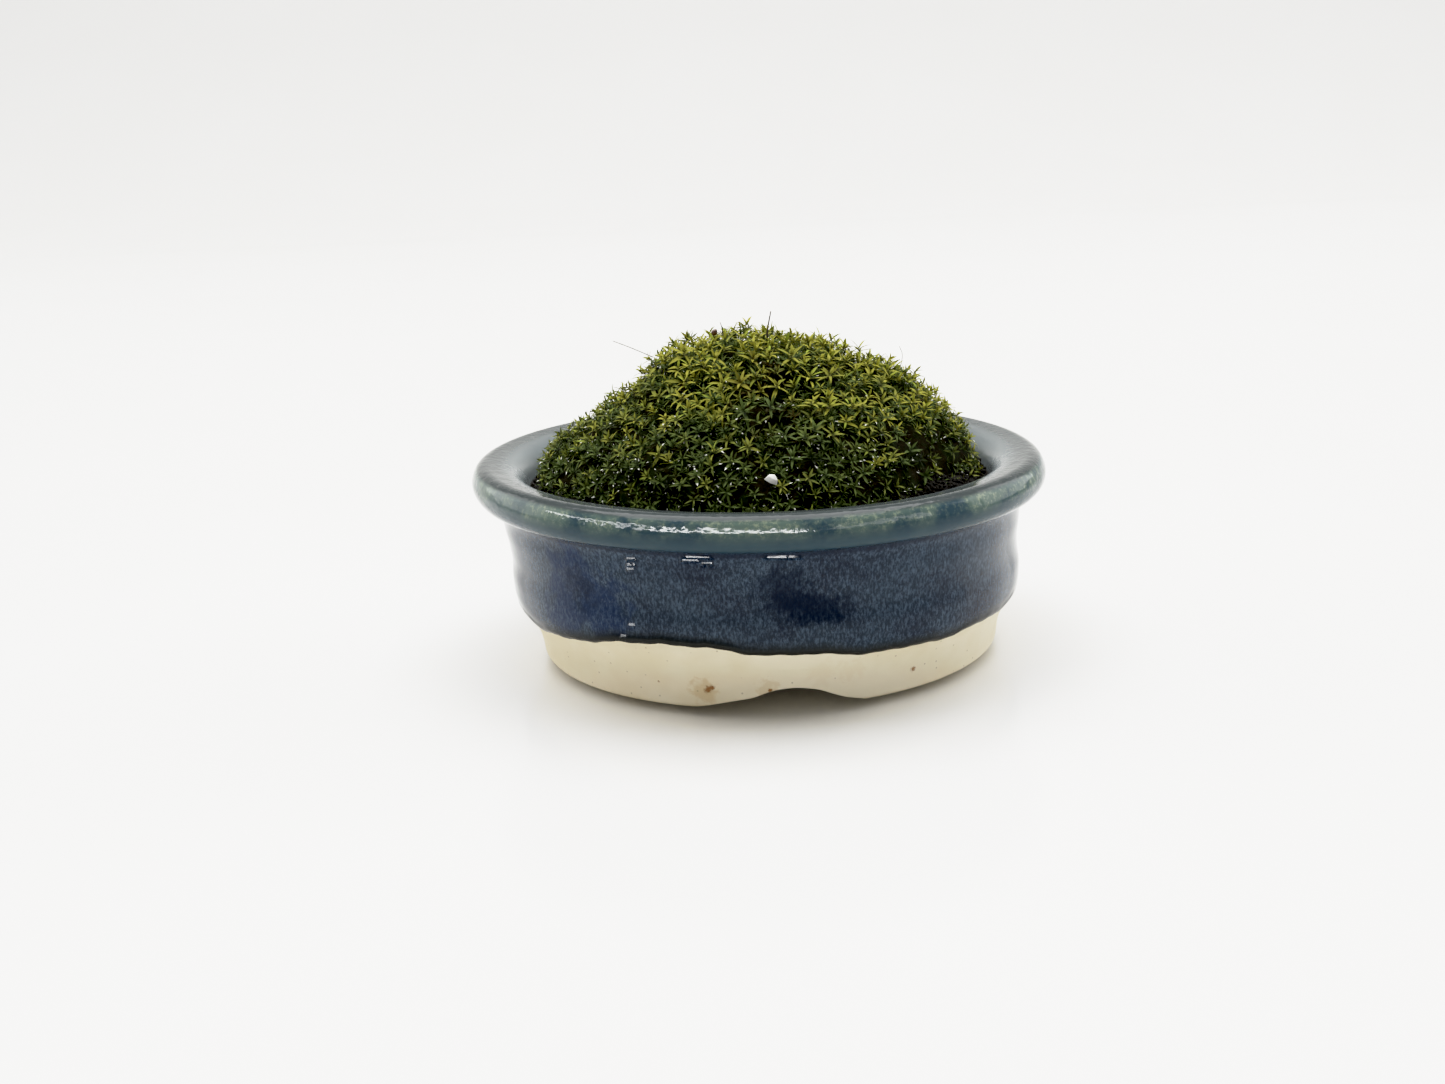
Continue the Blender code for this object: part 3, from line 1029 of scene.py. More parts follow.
    def notched(self, heights: np.ndarray, radii: np.ndarray, angles: np.ndarray,
                part: np.ndarray) -> np.ndarray:
        """Presses the three notches into the foot.

        Args:
            heights: Height of each vertex.
            radii: Distance of each from the axis.
            angles: Direction of each, in radians.
            part: Which stretch of the outline each vertex belongs to.

        Returns:
            The new heights.
        """
        curve = np.array(spline(self.notch, 4))
        notch = np.zeros(len(heights))
        for degrees in self.notch_angles:
            turn = angles - math.radians(degrees)
            across = radii * np.sin(turn)
            arch = np.interp(across, curve[:, 0], curve[:, 1], left=0.0, right=0.0)
            notch = np.maximum(notch, np.where(np.cos(turn) > 0.0, arch, 0.0))
        ring = np.array(self.foot())
        floor = np.interp(radii, ring[:, 0], ring[:, 1])
        inside = radii < self.foot_inner_radius + 0.05
        limit = np.where(inside, self.underside_height, self.foot_edge_height + 5.3)
        share = np.clip((heights - floor) / (limit - floor), 0.0, 1.0)
        under = (part == Stretch.UNDERSIDE) & (radii > self.foot_inner_radius - 2.0)
        low = np.isin(part, (Stretch.FOOT, Stretch.BODY)) | under
        return heights + low * np.maximum(0.0, notch - floor) * (1 - share)

    def handmade(self, angles: np.ndarray, heights: np.ndarray) -> np.ndarray:
        """Small unevenness of the turned wall: ridges, an oval, and a slow wave round it.

        Args:
            angles: Directions round the pot, in radians.
            heights: The heights to go with them.

        Returns:
            How far out the wall is at each.
        """
        ridges = 0.012 * np.sin(heights * 2.1 + 1.5 * np.sin(angles + 0.6))
        oval = 0.05 * np.sin(3 * angles + heights * 0.2)
        return ridges + oval + 0.03 * np.sin(7 * angles - heights * 0.3)

    def dip(self, builder: bmesh.types.BMesh, part: np.ndarray, above: np.ndarray) -> None:
        """Gives each face above the glaze's edge the glaze.

        Args:
            builder: The pot's shape.
            part: Which stretch of the outline each vertex belongs to.
            above: How far each vertex is above the glaze's edge.
        """
        glazed = np.isin(part, (Stretch.LIP, Stretch.INSIDE))
        glazed |= (part == Stretch.BODY) & (above > -0.01)
        builder.verts.index_update()
        for face in builder.faces:
            face.material_index = int(all(glazed[vertex.index] for vertex in face.verts))

    def build(self) -> bpy.types.Object:
        """Makes the pot.

        Returns:
            The finished piece.
        """
        builder, marks = self.mesh()
        mesh = mesh_of(builder, (ClayFinish().material(), GlazeFinish().material()), 60.0)
        set_marks(mesh, "glaze_marks", marks)
        return finish_piece("pot_glazed", mesh, ("pot",))


@dataclass
class MossForm:
    """The outer form of the cushion, which the tips of its shoots reach.

    The shape is rows of the share of the way out, and the height there at the left and at the
    right. A heart is a place where the moss is brown, and its reach. A swelling is a place, its
    rise and its reach.
    """

    radius: float = 31.3
    front_gap: float = 0.7
    right_gap: float = 1.7
    right_angle: float = -35.0
    right_width: float = 16.0
    tuft_spacing: float = 4.2
    tuft_depth: float = 1.9
    tuft_reach: float = 0.6
    bare_angle: float = -38.0
    bare_width: float = 17.0
    bare_shares: Range = (0.86, 0.95)
    steepest: float = 2.2
    hearts: tuple[tuple[float, float, float], ...] = (
        (0.4, -14.6, 5.0), (2.6, -21.0, 4.0), (14.0, 12.0, 4.5),
    )
    shape: tuple[Point, ...] = (
        (0.0, 45.5, 45.5), (0.12, 45.8, 45.3), (0.2, 45.3, 45.2), (0.345, 44.3, 44.1),
        (0.45, 42.5, 42.8), (0.555, 39.3, 41.6), (0.65, 36.9, 40.3), (0.745, 35.0, 38.1),
        (0.825, 33.4, 35.9), (0.89, 31.8, 33.7), (0.955, 29.1, 30.3), (1.0, 24.8, 24.8),
    )
    swellings: tuple[tuple[float, float, float, float], ...] = (
        (-12.0, -19.0, 0.8, 6.0), (2.0, -17.0, -0.8, 5.0), (14.0, -18.0, 0.7, 6.0),
        (23.5, -17.5, -1.2, 3.0), (-6.0, 18.0, 0.9, 6.0), (13.0, 17.0, -0.8, 5.0),
    )

    def edge(self, angles: np.ndarray) -> np.ndarray:
        """Draws the cushion's lower edge.

        Args:
            angles: Directions round the cushion, in radians.

        Returns:
            The edge's radius in each.
        """
        front = np.maximum(0.0, -np.sin(angles)) ** 2
        apart = (np.degrees(angles) - self.right_angle) / self.right_width
        return self.radius - self.front_gap * front - self.right_gap * np.exp(-apart ** 2)

    def share(self, x: np.ndarray, y: np.ndarray) -> np.ndarray:
        """How far out each place is, from 0 in the middle to 1 at the edge."""
        return np.minimum(1.0, np.hypot(x, y) / self.edge(np.arctan2(y, x)))

    def height(self, x: np.ndarray, y: np.ndarray) -> np.ndarray:
        """Height of the smooth form.

        Args:
            x: Places to the right of the middle, in millimetres.
            y: Places behind it.

        Returns:
            The height at each place.
        """
        share = self.share(x, y)
        shares, left, right = zip(*self.shape)
        rightness = (1 + np.cos(np.arctan2(y, x))) / 2
        height = np.interp(share, shares, left) * (1 - rightness)
        height = height + np.interp(share, shares, right) * rightness
        for swelling_x, swelling_y, rise, reach in self.swellings:
            apart = np.hypot(x - swelling_x, y - swelling_y) / reach
            height = height + (1 - share ** 6) * rise * np.exp(-apart ** 2)
        return height

    def tufts(self, x: np.ndarray, y: np.ndarray, z: np.ndarray) -> np.ndarray:
        """Parts the cushion into tufts.

        Args:
            x: Places to the right of the middle.
            y: Places behind it.
            z: Their heights.

        Returns:
            How deep each place is below the tips, between one tuft and the next.
        """
        points = np.stack([x, y, z], axis=1) / self.tuft_spacing
        apart = np.array([noise.voronoi(Vector(point))[0][0] for point in points])
        fade = 1 - self.share(x, y) ** 8
        return self.tuft_depth * np.minimum(1.0, apart / self.tuft_reach) ** 2 * fade

    def bareness(self, x: np.ndarray, y: np.ndarray) -> np.ndarray:
        """How thin the moss is at each place, from 0 to 1, at the edge where the soil shows."""
        apart = (np.degrees(np.arctan2(y, x)) - self.bare_angle) / self.bare_width
        return np.exp(-apart ** 2) * smooth_step(self.share(x, y), *self.bare_shares)

    def browning(self, x: np.ndarray, y: np.ndarray) -> np.ndarray:
        """How brown the moss is at each place, from 0 to 1."""
        apart = [((x - a) ** 2 + (y - b) ** 2) / reach ** 2 for a, b, reach in self.hearts]
        return np.exp(-np.min(apart, axis=0))

    def normals(self, x: np.ndarray, y: np.ndarray) -> np.ndarray:
        """Finds the directions straight out of the smooth form.

        Args:
            x: Places to the right of the middle.
            y: Places behind it.

        Returns:
            A row for each place.
        """
        step = 0.4
        slope_x = (self.height(x + step, y) - self.height(x - step, y)) / (2 * step)
        slope_y = (self.height(x, y + step) - self.height(x, y - step)) / (2 * step)
        steep = np.maximum(1.0, np.hypot(slope_x, slope_y) / self.steepest)
        out = np.stack([-slope_x / steep, -slope_y / steep, np.ones(len(x))], axis=1)
        return out / np.linalg.norm(out, axis=1, keepdims=True)


class Habit(Enum):
    """How a shoot of the moss holds its leaves."""

    OPEN = "open"
    RISING = "rising"
    BUD = "bud"
    OLD = "old"


@dataclass(frozen=True)
class ShootPlan:
    """The leaves of one kind of shoot, sizes in millimetres and angles in degrees."""

    leaves: int
    length: float
    width: float
    inner_angle: float
    outer_angle: float
    curl: float
    droop: float
    rows: int = 3


PLANS = {
    Habit.OPEN: ShootPlan(8, 2.40, 0.54, 20.0, 84.0, 38.0, 0.30),
    Habit.RISING: ShootPlan(8, 2.00, 0.46, 14.0, 62.0, 32.0, 0.30),
    Habit.BUD: ShootPlan(7, 1.15, 0.37, 8.0, 40.0, 14.0, 0.20),
    Habit.OLD: ShootPlan(7, 1.35, 0.30, 30.0, 95.0, 55.0, 0.50),
}


@dataclass
class Shoot:
    """One star-shaped shoot, to be repeated: its points, its faces, and each point's marks."""

    points: np.ndarray
    faces: list[list[int]]
    along: np.ndarray
    leaf_tone: np.ndarray

    @classmethod
    def grown(cls, habit: Habit, seed: int) -> "Shoot":
        """Grows a shoot about the Z axis, its leaves spread as its habit says.

        Args:
            habit: How it holds its leaves.
            seed: Which of the shoots of that habit this is.

        Returns:
            The shoot.
        """
        plan = PLANS[habit]
        chance = np.random.default_rng(seed)
        builder = bmesh.new()
        along_layer = builder.verts.layers.float.new("along")
        tone_layer = builder.verts.layers.float.new("tone")
        for i in range(plan.leaves):
            share = (i + 0.5) / plan.leaves
            angle = plan.inner_angle + (plan.outer_angle - plan.inner_angle) * share ** 0.65
            angle += chance.normal(0.0, 6.0)
            length = plan.length * (0.60 + 0.40 * share) * chance.uniform(0.78, 1.15)
            width = plan.width * (0.75 + 0.25 * share) * chance.uniform(0.85, 1.15)
            bend = plan.curl * chance.uniform(0.3, 1.5)
            leaf = cls.leaf(builder, plan.rows, length, width, bend)
            turn = math.radians(i * GOLDEN_ANGLE + chance.normal(0.0, 9.0))
            roll = math.radians(chance.normal(0.0, 14.0))
            rise = Matrix.Rotation(math.radians(90.0 - angle), 3, "Y").inverted()
            place = Matrix.Rotation(turn, 3, "Z") @ rise @ Matrix.Rotation(roll, 3, "X")
            bmesh.ops.transform(builder, matrix=place.to_4x4(), verts=leaf)
            shift = 0.45 * (1 - share) - plan.droop * share
            bmesh.ops.translate(builder, vec=(0, 0, shift), verts=leaf)
            tone = chance.uniform(0.0, 1.0)
            for vertex in leaf:
                vertex[tone_layer] = tone
        builder.verts.index_update()
        along = np.array([vertex[along_layer] for vertex in builder.verts])
        tones = np.array([vertex[tone_layer] for vertex in builder.verts])
        faces = [[vertex.index for vertex in face.verts] for face in builder.faces]
        points = coordinates(builder)
        builder.free()
        return cls(points, faces, along, tones)

    @staticmethod
    def leaf(builder: bmesh.types.BMesh, rows: int, length: float, width: float,
             bend: float) -> list[bmesh.types.BMVert]:
        """Adds a lance-shaped keeled leaf, from the origin along +X, bent down by an angle.

        Args:
            builder: What the leaf is added to.
            rows: Number of faces along it.
            length: Its length.
            width: Its greatest width.
            bend: How far its tip turns down, in degrees.

        Returns:
            The leaf's vertices.
        """
        along_layer = builder.verts.layers.float["along"]
        sweep = math.radians(bend)
        made = bmesh.ops.create_grid(builder, x_segments=rows, y_segments=2, size=0.5)["verts"]
        for vertex in made:
            along, side = vertex.co.x + 0.5, vertex.co.y * 2
            vertex[along_layer] = along
            half = width / 2 * (0.55 + 1.6 * along) * (1 - along) ** 0.75
            turn = sweep * along
            reach = length * (math.sin(turn) / sweep)
            drop = length * ((1 - math.cos(turn)) / sweep)
            vertex.co = (reach, side * half, -drop + 0.35 * half * abs(side))
        tip = [vertex for vertex in made if vertex[along_layer] > 0.999]
        bmesh.ops.pointmerge(builder, verts=tip, merge_co=tip[0].co)
        return [vertex for vertex in made if vertex.is_valid]


@dataclass(frozen=True)
class Layer:
    """One layer of shoots: how close they stand, how deep their heads are, and how they look.

    The spacings are of its top and its foot, in millimetres, as the depth is. The painted light is
    multiplied by light and lowered by shade, which paints the lower layers darker as the shade
    under the stars, and the age is raised.
    """

    name: str
    habits: tuple[tuple[Habit, int], ...]
    top_spacing: float
    low_spacing: float
    depth: tuple[float, float]
    follows_tufts: float
    size: float
    light: float
    shade: float
    age: float
    uneven: float = 0.45


# Painted shade: the deeper layers' light and shade make their leaves darker, as the shade under
# the stars.
LAYERS = (
    Layer(
        "moss_stars", ((Habit.OPEN, 9), (Habit.RISING, 4)), top_spacing=2.00, low_spacing=1.95,
        depth=(0.5, 1.3), follows_tufts=0.6, size=1.02, light=1.00, shade=0.00, age=0.00,
    ),
    Layer(
        "moss_shoots", ((Habit.RISING, 5), (Habit.OPEN, 4), (Habit.BUD, 3)), top_spacing=1.30,
        low_spacing=1.10, depth=(1.0, 1.9), follows_tufts=0.8, size=0.82, light=0.38, shade=0.02,
        age=0.05,
    ),
    Layer(
        "moss_old_shoots", ((Habit.OLD, 5), (Habit.RISING, 3)), top_spacing=1.30, low_spacing=1.15,
        depth=(1.6, 2.5), follows_tufts=0.8, size=0.92, light=0.20, shade=0.00, age=0.20,
    ),
)


@dataclass(frozen=True)
class Daylight:
    """How much light is painted into the moss's colour: where it starts, and what each cause adds
    or takes away.

    Height, sides and right add painted light, front takes it away as painted shade, and brown and
    bare make it darker. Clumps differ by clump, and by high_clump more at the top, and single
    shoots by single.
    """

    base: float = 0.42
    height: float = 0.48
    sides: float = 0.25
    right: float = 0.19
    front: float = 0.16
    brown: float = 0.25
    bare: float = 0.34
    clump: float = 0.22
    high_clump: float = 0.16
    single: float = 0.14


@dataclass
class Planting:
    """Where the shoots stand: their heads, directions, sizes, and marks for painted light and age.
    """

    heads: np.ndarray
    axes: np.ndarray
    sizes: np.ndarray
    sun: np.ndarray
    age: np.ndarray


@dataclass
class MossCushion:
    """The cushion: a mat of old stems, dark and painted near black as shade, covered with
    star-shaped shoots.
    """

    form: MossForm
    layers: tuple[Layer, ...] = LAYERS
    daylight: Daylight = Daylight()
    tries: int = 30000
    crowding: float = 1.35
    mat_depth: float = 2.6
    mat_tufts: float = 0.7
    mat_grid: int = 150
    piece_faces: int = 90000
    skirt_height: float = 21.3
    spacing_heights: Range = (30.0, 43.0)
    light_heights: Range = (31.0, 45.0)
    rim_shares: Range = (0.85, 1.0)
    bare_thinning: float = 0.58
    brown_thinning: float = 0.25
    grit_place: Point = (0.5, -28.8, 30.2)
    clear_of_grit: float = 1.15

    def mat(self) -> bpy.types.Object:
        """Makes the mat that shows between the shoots, painted near black as shade, a dome with a
        skirt below the soil.

        Returns:
            The finished piece.
        """
        builder = bmesh.new()
        steps = self.mat_grid
        bmesh.ops.create_grid(builder, x_segments=steps, y_segments=steps, size=1.0)
        edge = [item for item in builder.edges if item.is_boundary]
        flat = coordinates(builder)
        u = flat[:, 0] * np.sqrt(1 - flat[:, 1] ** 2 / 2)
        v = flat[:, 1] * np.sqrt(1 - flat[:, 0] ** 2 / 2)
        angles = np.arctan2(v, u)
        share = np.minimum(1.0, np.hypot(u, v))
        radii = (1 - (1 - share) ** self.crowding) * (self.form.edge(angles) - 1.5)
        x, y = radii * np.cos(angles), radii * np.sin(angles)
        z = self.form.height(x, y)
        z -= self.mat_tufts * self.form.tufts(x, y, z)
        z -= self.mat_depth * (1 - 0.4 * share ** 6)
        points = np.stack([x, y, z], axis=1)
        points[:, 2] += 0.35 * rumple(points, 1.1) + 0.25 * rumple(points, 0.5, 3.0)
        move_to(builder, points)
        skirt = bmesh.ops.extrude_edge_only(builder, edges=edge)["geom"]
        low = [item for item in skirt if isinstance(item, bmesh.types.BMVert)]
        for vertex in low:
            vertex.co.z = self.skirt_height
        sides = [item for item in skirt if isinstance(item, bmesh.types.BMEdge)]
        rim = [side for side in sides if side.is_boundary]
        bmesh.ops.contextual_create(builder, geom=rim)
        bmesh.ops.recalc_face_normals(builder, faces=builder.faces)
        move_to(builder, KILN.moved(coordinates(builder)))
        mesh = mesh_of(builder, (MatFinish().material(),))
        return finish_piece("moss_mat", mesh, ("moss_cushion",))

    def places(self, layer: Layer, seed: int) -> np.ndarray:
        """Scatters places over the cushion, none nearer to another than the layer's spacing there.

        Args:
            layer: The layer of shoots that will stand on them.
            seed: Which scatter this is.

        Returns:
            Rows of x, y and z on the smooth form.
        """
        chance = np.random.default_rng(seed)
        angles = chance.uniform(-math.pi, math.pi, self.tries)
        share = 1 - (1 - np.sqrt(chance.uniform(0.0, 1.0, self.tries))) ** self.crowding
        radii = share * self.form.edge(angles) * 0.995
        x, y = radii * np.cos(angles), radii * np.sin(angles)
        candidates = np.stack([x, y, self.form.height(x, y)], axis=1)
        high = smooth_step(candidates[:, 2], *self.spacing_heights)
        reach = layer.low_spacing + (layer.top_spacing - layer.low_spacing) * high
        reach = reach * (1 + layer.uneven * rumple(candidates, 4.0, 21.0))
        kept = np.empty((0, 3))
        for point, least in zip(candidates, reach):
            if len(kept) == 0 or np.min(np.sum((kept - point) ** 2, axis=1)) > least * least:
                kept = np.vstack([kept, point])
        thin = self.bare_thinning * self.form.bareness(kept[:, 0], kept[:, 1])
        thin = thin + self.brown_thinning * self.form.browning(kept[:, 0], kept[:, 1])
        clear = np.linalg.norm(kept - np.array(self.grit_place), axis=1) > self.clear_of_grit
        return kept[clear & (chance.uniform(0.0, 1.0, len(kept)) > thin)]

    def planted(self, layer: Layer, seed: int) -> Planting:
        """Stands a layer's shoots on their places.

        Args:
            layer: The layer.
            seed: Which planting this is.

        Returns:
            The planting, leaned as the pot is.
        """
        day = self.daylight
        places = self.places(layer, seed)
        x, y, z = places.T
        chance = np.random.default_rng(seed + 10)
        count = len(places)
        out = self.form.normals(x, y)
        axes = out + np.array([0.0, 0.0, 0.5]) + chance.normal(0.0, 0.30, (count, 3))
        axes /= np.linalg.norm(axes, axis=1, keepdims=True)
        rim = smooth_step(self.form.share(x, y), *self.rim_shares)
        deep = chance.uniform(*layer.depth, count) + layer.follows_tufts * self.form.tufts(x, y, z)
        deep *= 1 - 0.5 * rim
        heads = places - out * deep[:, None]
        front = np.clip(-out[:, 1], 0.0, 1.0)
        high = smooth_step(z, *self.light_heights)
        brown = self.form.browning(x, y)
        # Painted light and shade: leaves are painted lighter high up, at the sides and to the
        # right, and darker low at the front; brown hearts and bare places make them darker, and
        # clumps and single shoots differ at random.
        light = day.base + day.height * high + day.sides * abs(out[:, 0]) + day.right * out[:, 0]
        light -= day.front * front * (1 - high)
        light -= day.brown * brown + day.bare * self.form.bareness(x, y)
        clump = (day.clump + day.high_clump * high) * rumple(places, 4.5, 7.0)
        light += clump + chance.normal(0.0, day.single, count)
        sun = np.clip(layer.light * light - layer.shade, 0.0, 1.0)
        age = chance.uniform(0.0, 0.62, count) + 0.35 * brown
        age = age + 0.18 * rumple(places, 3.5, 11.0) + layer.age
        sizes = layer.size * (0.86 + 0.18 * high) * chance.uniform(0.75, 1.15, count)
        sizes *= 1 - 0.12 * rim
        return Planting(KILN.moved(heads), axes, sizes, sun, np.clip(age, 0.0, 1.0))

    def shoots(self, name: str, planting: Planting, kinds: Sequence[Shoot], seed: int,
               leaf: bpy.types.Material) -> list[bpy.types.Object]:
        """Repeats the shoots over a planting, in pieces of a limited number of faces.

        Args:
            name: The pieces' name, to which a number is added.
            planting: Where the shoots stand.
            kinds: The shoots to choose from.
            seed: Which choice this is.
            leaf: The leaves' material.

        Returns:
            The pieces.
        """
        chance = np.random.default_rng(seed)
        picks = chance.integers(0, len(kinds), len(planting.heads))
        order = np.argsort(planting.heads[:, 0])
        pieces, points, faces, marks, start = [], [], [], [], 0
        for i in order:
            kind = kinds[picks[i]]
            turn = Matrix.Rotation(chance.uniform(0.0, 2 * math.pi), 3, "Z")
            stand = Vector(planting.axes[i]).to_track_quat("Z", "Y").to_matrix() @ turn
            points.append(kind.points @ np.array(stand).T * planting.sizes[i] + planting.heads[i])
            faces.extend([corner + start for corner in face] for face in kind.faces)
            light = np.clip(planting.sun[i] + 0.12 * (kind.leaf_tone - 0.5), 0.0, 1.0)
            old = np.clip(planting.age[i] + 0.25 * (kind.leaf_tone - 0.6), 0.0, 1.0)
            marks.append(np.stack([kind.along, light, kind.leaf_tone, old], axis=1))
            start += len(kind.points)
            if len(faces) > self.piece_faces or i == order[-1]:
                mesh = bpy.data.meshes.new(name)
                mesh.from_pydata(np.concatenate(points) * MM, [], faces)
                mesh.materials.append(leaf)
                mesh.shade_smooth()
                set_marks(mesh, "leaf_marks", np.concatenate(marks))
                label = f"{name}_{len(pieces) + 1}"
                pieces.append(finish_piece(label, mesh, ("moss_cushion",)))
                points, faces, marks, start = [], [], [], 0
        return pieces

    def build(self) -> list[bpy.types.Object]:
        """Makes the cushion: the mat, then the layers of shoots, the stars first.

        Returns:
            The finished pieces.
        """
        leaf = LeafFinish().material()
        pieces = [self.mat()]
        for number, layer in enumerate(self.layers, 1):
            kinds = [
                Shoot.grown(habit, 100 * number + 20 * place + i)
                for place, (habit, count) in enumerate(layer.habits) for i in range(count)
            ]
            planting = self.planted(layer, number)
            pieces += self.shoots(layer.name, planting, kinds, 30 + number, leaf)
        return pieces


@dataclass
class SoilBed:
    """The soil: it fills the pot and mounds up under the moss, with loose crumbs at its edge."""

    form: MossForm
    inner_radius: float = 31.9
    edge_height: float = 24.3
    mound_rise: float = 11.5
    floor_height: float = 7.5
    gap: float = 0.35
    segments: int = 220
    crumbs: int = 900
    gathered: float = 0.4
    gathered_width: float = 13.0
    large: float = 0.06

    def height(self, radii: np.ndarray) -> np.ndarray:
        """Height of the mound at each radius."""
        rise = self.mound_rise * np.maximum(0.0, 1.0 - (radii / self.inner_radius) ** 2)
        return self.edge_height + rise

    def outline(self) -> Outline:
        """Draws the mound, the side along the pot's wall, and the bottom.

        Returns:
            The points from the mound's top to the middle of the bottom.
        """
        inner = self.inner_radius
        radii = np.linspace(0.0, inner + 0.4, 70)
        mound = list(zip(radii, self.height(radii)))
        side = spline([(inner - 0.35, 20.0), (inner - 0.75, 15.0), (inner - 2.0, 10.2)], 3)
        bottom = self.floor_height + self.gap
        return mound + side + [(inner - 6.0, bottom), (0.0, bottom)]

    def bed(self) -> bpy.types.Object:
        """Makes the soil itself, its surface crumbly.

        Returns:
            The finished piece.
        """
        builder = turned(self.outline(), self.segments)
        points = coordinates(builder)
        radii = np.hypot(points[:, 0], points[:, 1])
        wall = smooth_step(radii, self.inner_radius - 0.3, self.inner_radius + 0.3)
        top = (points[:, 2] > self.edge_height - 2.0) * (1 - wall)
        points[:, 2] += top * (0.45 * rumple(points, 1.7) + 0.3 * rumple(points, 0.7, 5.0))
        move_to(builder, KILN.moved(points))
        mesh = mesh_of(builder, (SoilFinish().material(),), 70.0)
        return finish_piece("soil_bed", mesh, ("soil",))

    def loose(self) -> bpy.types.Object:
        """Makes loose crumbs round the cushion's edge, many of them where it stops short at right.

        Returns:
            The finished piece.
        """
        chance = np.random.default_rng(5)
        builder = bmesh.new()
        for _ in range(self.crumbs):
            angle = chance.uniform(-math.pi, math.pi)
            if chance.random() < self.gathered:
                angle = math.radians(chance.normal(self.form.right_angle, self.gathered_width))
            edge = float(self.form.edge(np.array([angle]))[0])
            radius = chance.uniform(edge - 1.4, self.inner_radius + 0.2)
            radius = min(radius, self.inner_radius - 0.1)
            size = chance.uniform(0.12, 0.42) * (1.5 if chance.random() < self.large else 1.0)
            height = float(self.height(np.array([radius]))[0]) + size * 0.4
            made = bmesh.ops.create_icosphere(builder, subdivisions=1, radius=size)["verts"]
            shift = Vector(chance.uniform(-9.0, 9.0, 3))
            for vertex in made:
                vertex.co *= 1.0 + 0.45 * noise.noise(vertex.co / size * 0.9 + shift)
            bmesh.ops.scale(builder, vec=chance.uniform(0.7, 1.2, 3), verts=made)
            place = (radius * math.cos(angle), radius * math.sin(angle), height)
            bmesh.ops.translate(builder, vec=place, verts=made)
        move_to(builder, KILN.moved(coordinates(builder)))
        crumb = PlainFinish(
            "soil crumb", (0.003, 0.0025, 0.0015), (0.009, 0.0075, 0.005), size=0.5, roughness=0.6,
            depth=0.15, gloss=0.05,
        )
        mesh = mesh_of(builder, (crumb.material(),), 35.0)
        return finish_piece("soil_crumbs", mesh)


@dataclass
class WhiteGrit:
    """One white angular chip of stone that lies on the front of the moss, pointing down."""

    place: Point = (0.95, -28.8, 30.2)
    wear: float = 0.04
    corners: tuple[Point, ...] = (
        (-0.95, 0.0, 0.10), (-0.40, -0.35, 0.55), (-0.25, 0.45, 0.60), (0.40, -0.10, 0.68),
        (0.55, 0.40, 0.35), (0.78, -0.20, -0.05), (0.62, -0.05, -0.72), (0.25, 0.45, -0.55),
        (-0.15, -0.45, -0.35), (-0.55, 0.30, -0.25), (0.30, -0.50, 0.15),
    )

    def build(self) -> bpy.types.Object:
        """Makes the chip, broken to flat faces with worn edges.

        Returns:
            The finished piece.
        """
        builder = bmesh.new()
        for corner in self.corners:
            bmesh.ops.create_vert(builder, co=corner)
        bmesh.ops.convex_hull(builder, input=builder.verts)
        bmesh.ops.bevel(
            builder, geom=list(builder.edges), offset=self.wear, affect="EDGES", segments=2,
            profile=0.5, material=-1,
        )
        bmesh.ops.recalc_face_normals(builder, faces=builder.faces)
        bmesh.ops.translate(builder, vec=self.place, verts=builder.verts)
        chip = PlainFinish("white chip", (0.80, 0.78, 0.72), (0.92, 0.91, 0.87), 0.4, 0.5)
        mesh = mesh_of(builder, (chip.material(),), 25.0)
        return finish_piece("white_chip", mesh, ("white_grit",))


@dataclass(frozen=True)
class Thread:
    """A hair, fibre or stalk: the points it passes, and its thickness from end to end."""

    name: str
    points: tuple[Point, ...]
    thickness: tuple[float, float]
    finish: PlainFinish

    def build(self) -> bpy.types.Object:
        """Makes the thread, a thin round tube with closed ends.

        Returns:
            The finished piece.
        """
        line = [Vector(point) for point in spline(self.points, 6)]
        builder = bmesh.new()
        rings = []
        for i, point in enumerate(line):
            ahead = (line[min(i + 1, len(line) - 1)] - line[max(i - 1, 0)]).normalized()
            share = i / (len(line) - 1)
            radius = (self.thickness[0] * (1 - share) + self.thickness[1] * share) / 2
            made = bmesh.ops.create_circle(builder, segments=6, radius=radius)["verts"]
            stand = Matrix.Translation(point) @ ahead.to_track_quat("Z", "X").to_matrix().to_4x4()
            bmesh.ops.transform(builder, matrix=stand, verts=made)
            rings.append({edge for vertex in made for edge in vertex.link_edges})
        for first, second in zip(rings, rings[1:]):
            bmesh.ops.bridge_loops(builder, edges=[*first, *second])
        bmesh.ops.holes_fill(builder, edges=list(builder.edges), sides=6)
        bmesh.ops.recalc_face_normals(builder, faces=builder.faces)
        return finish_piece(self.name, mesh_of(builder, (self.finish.material(),)))


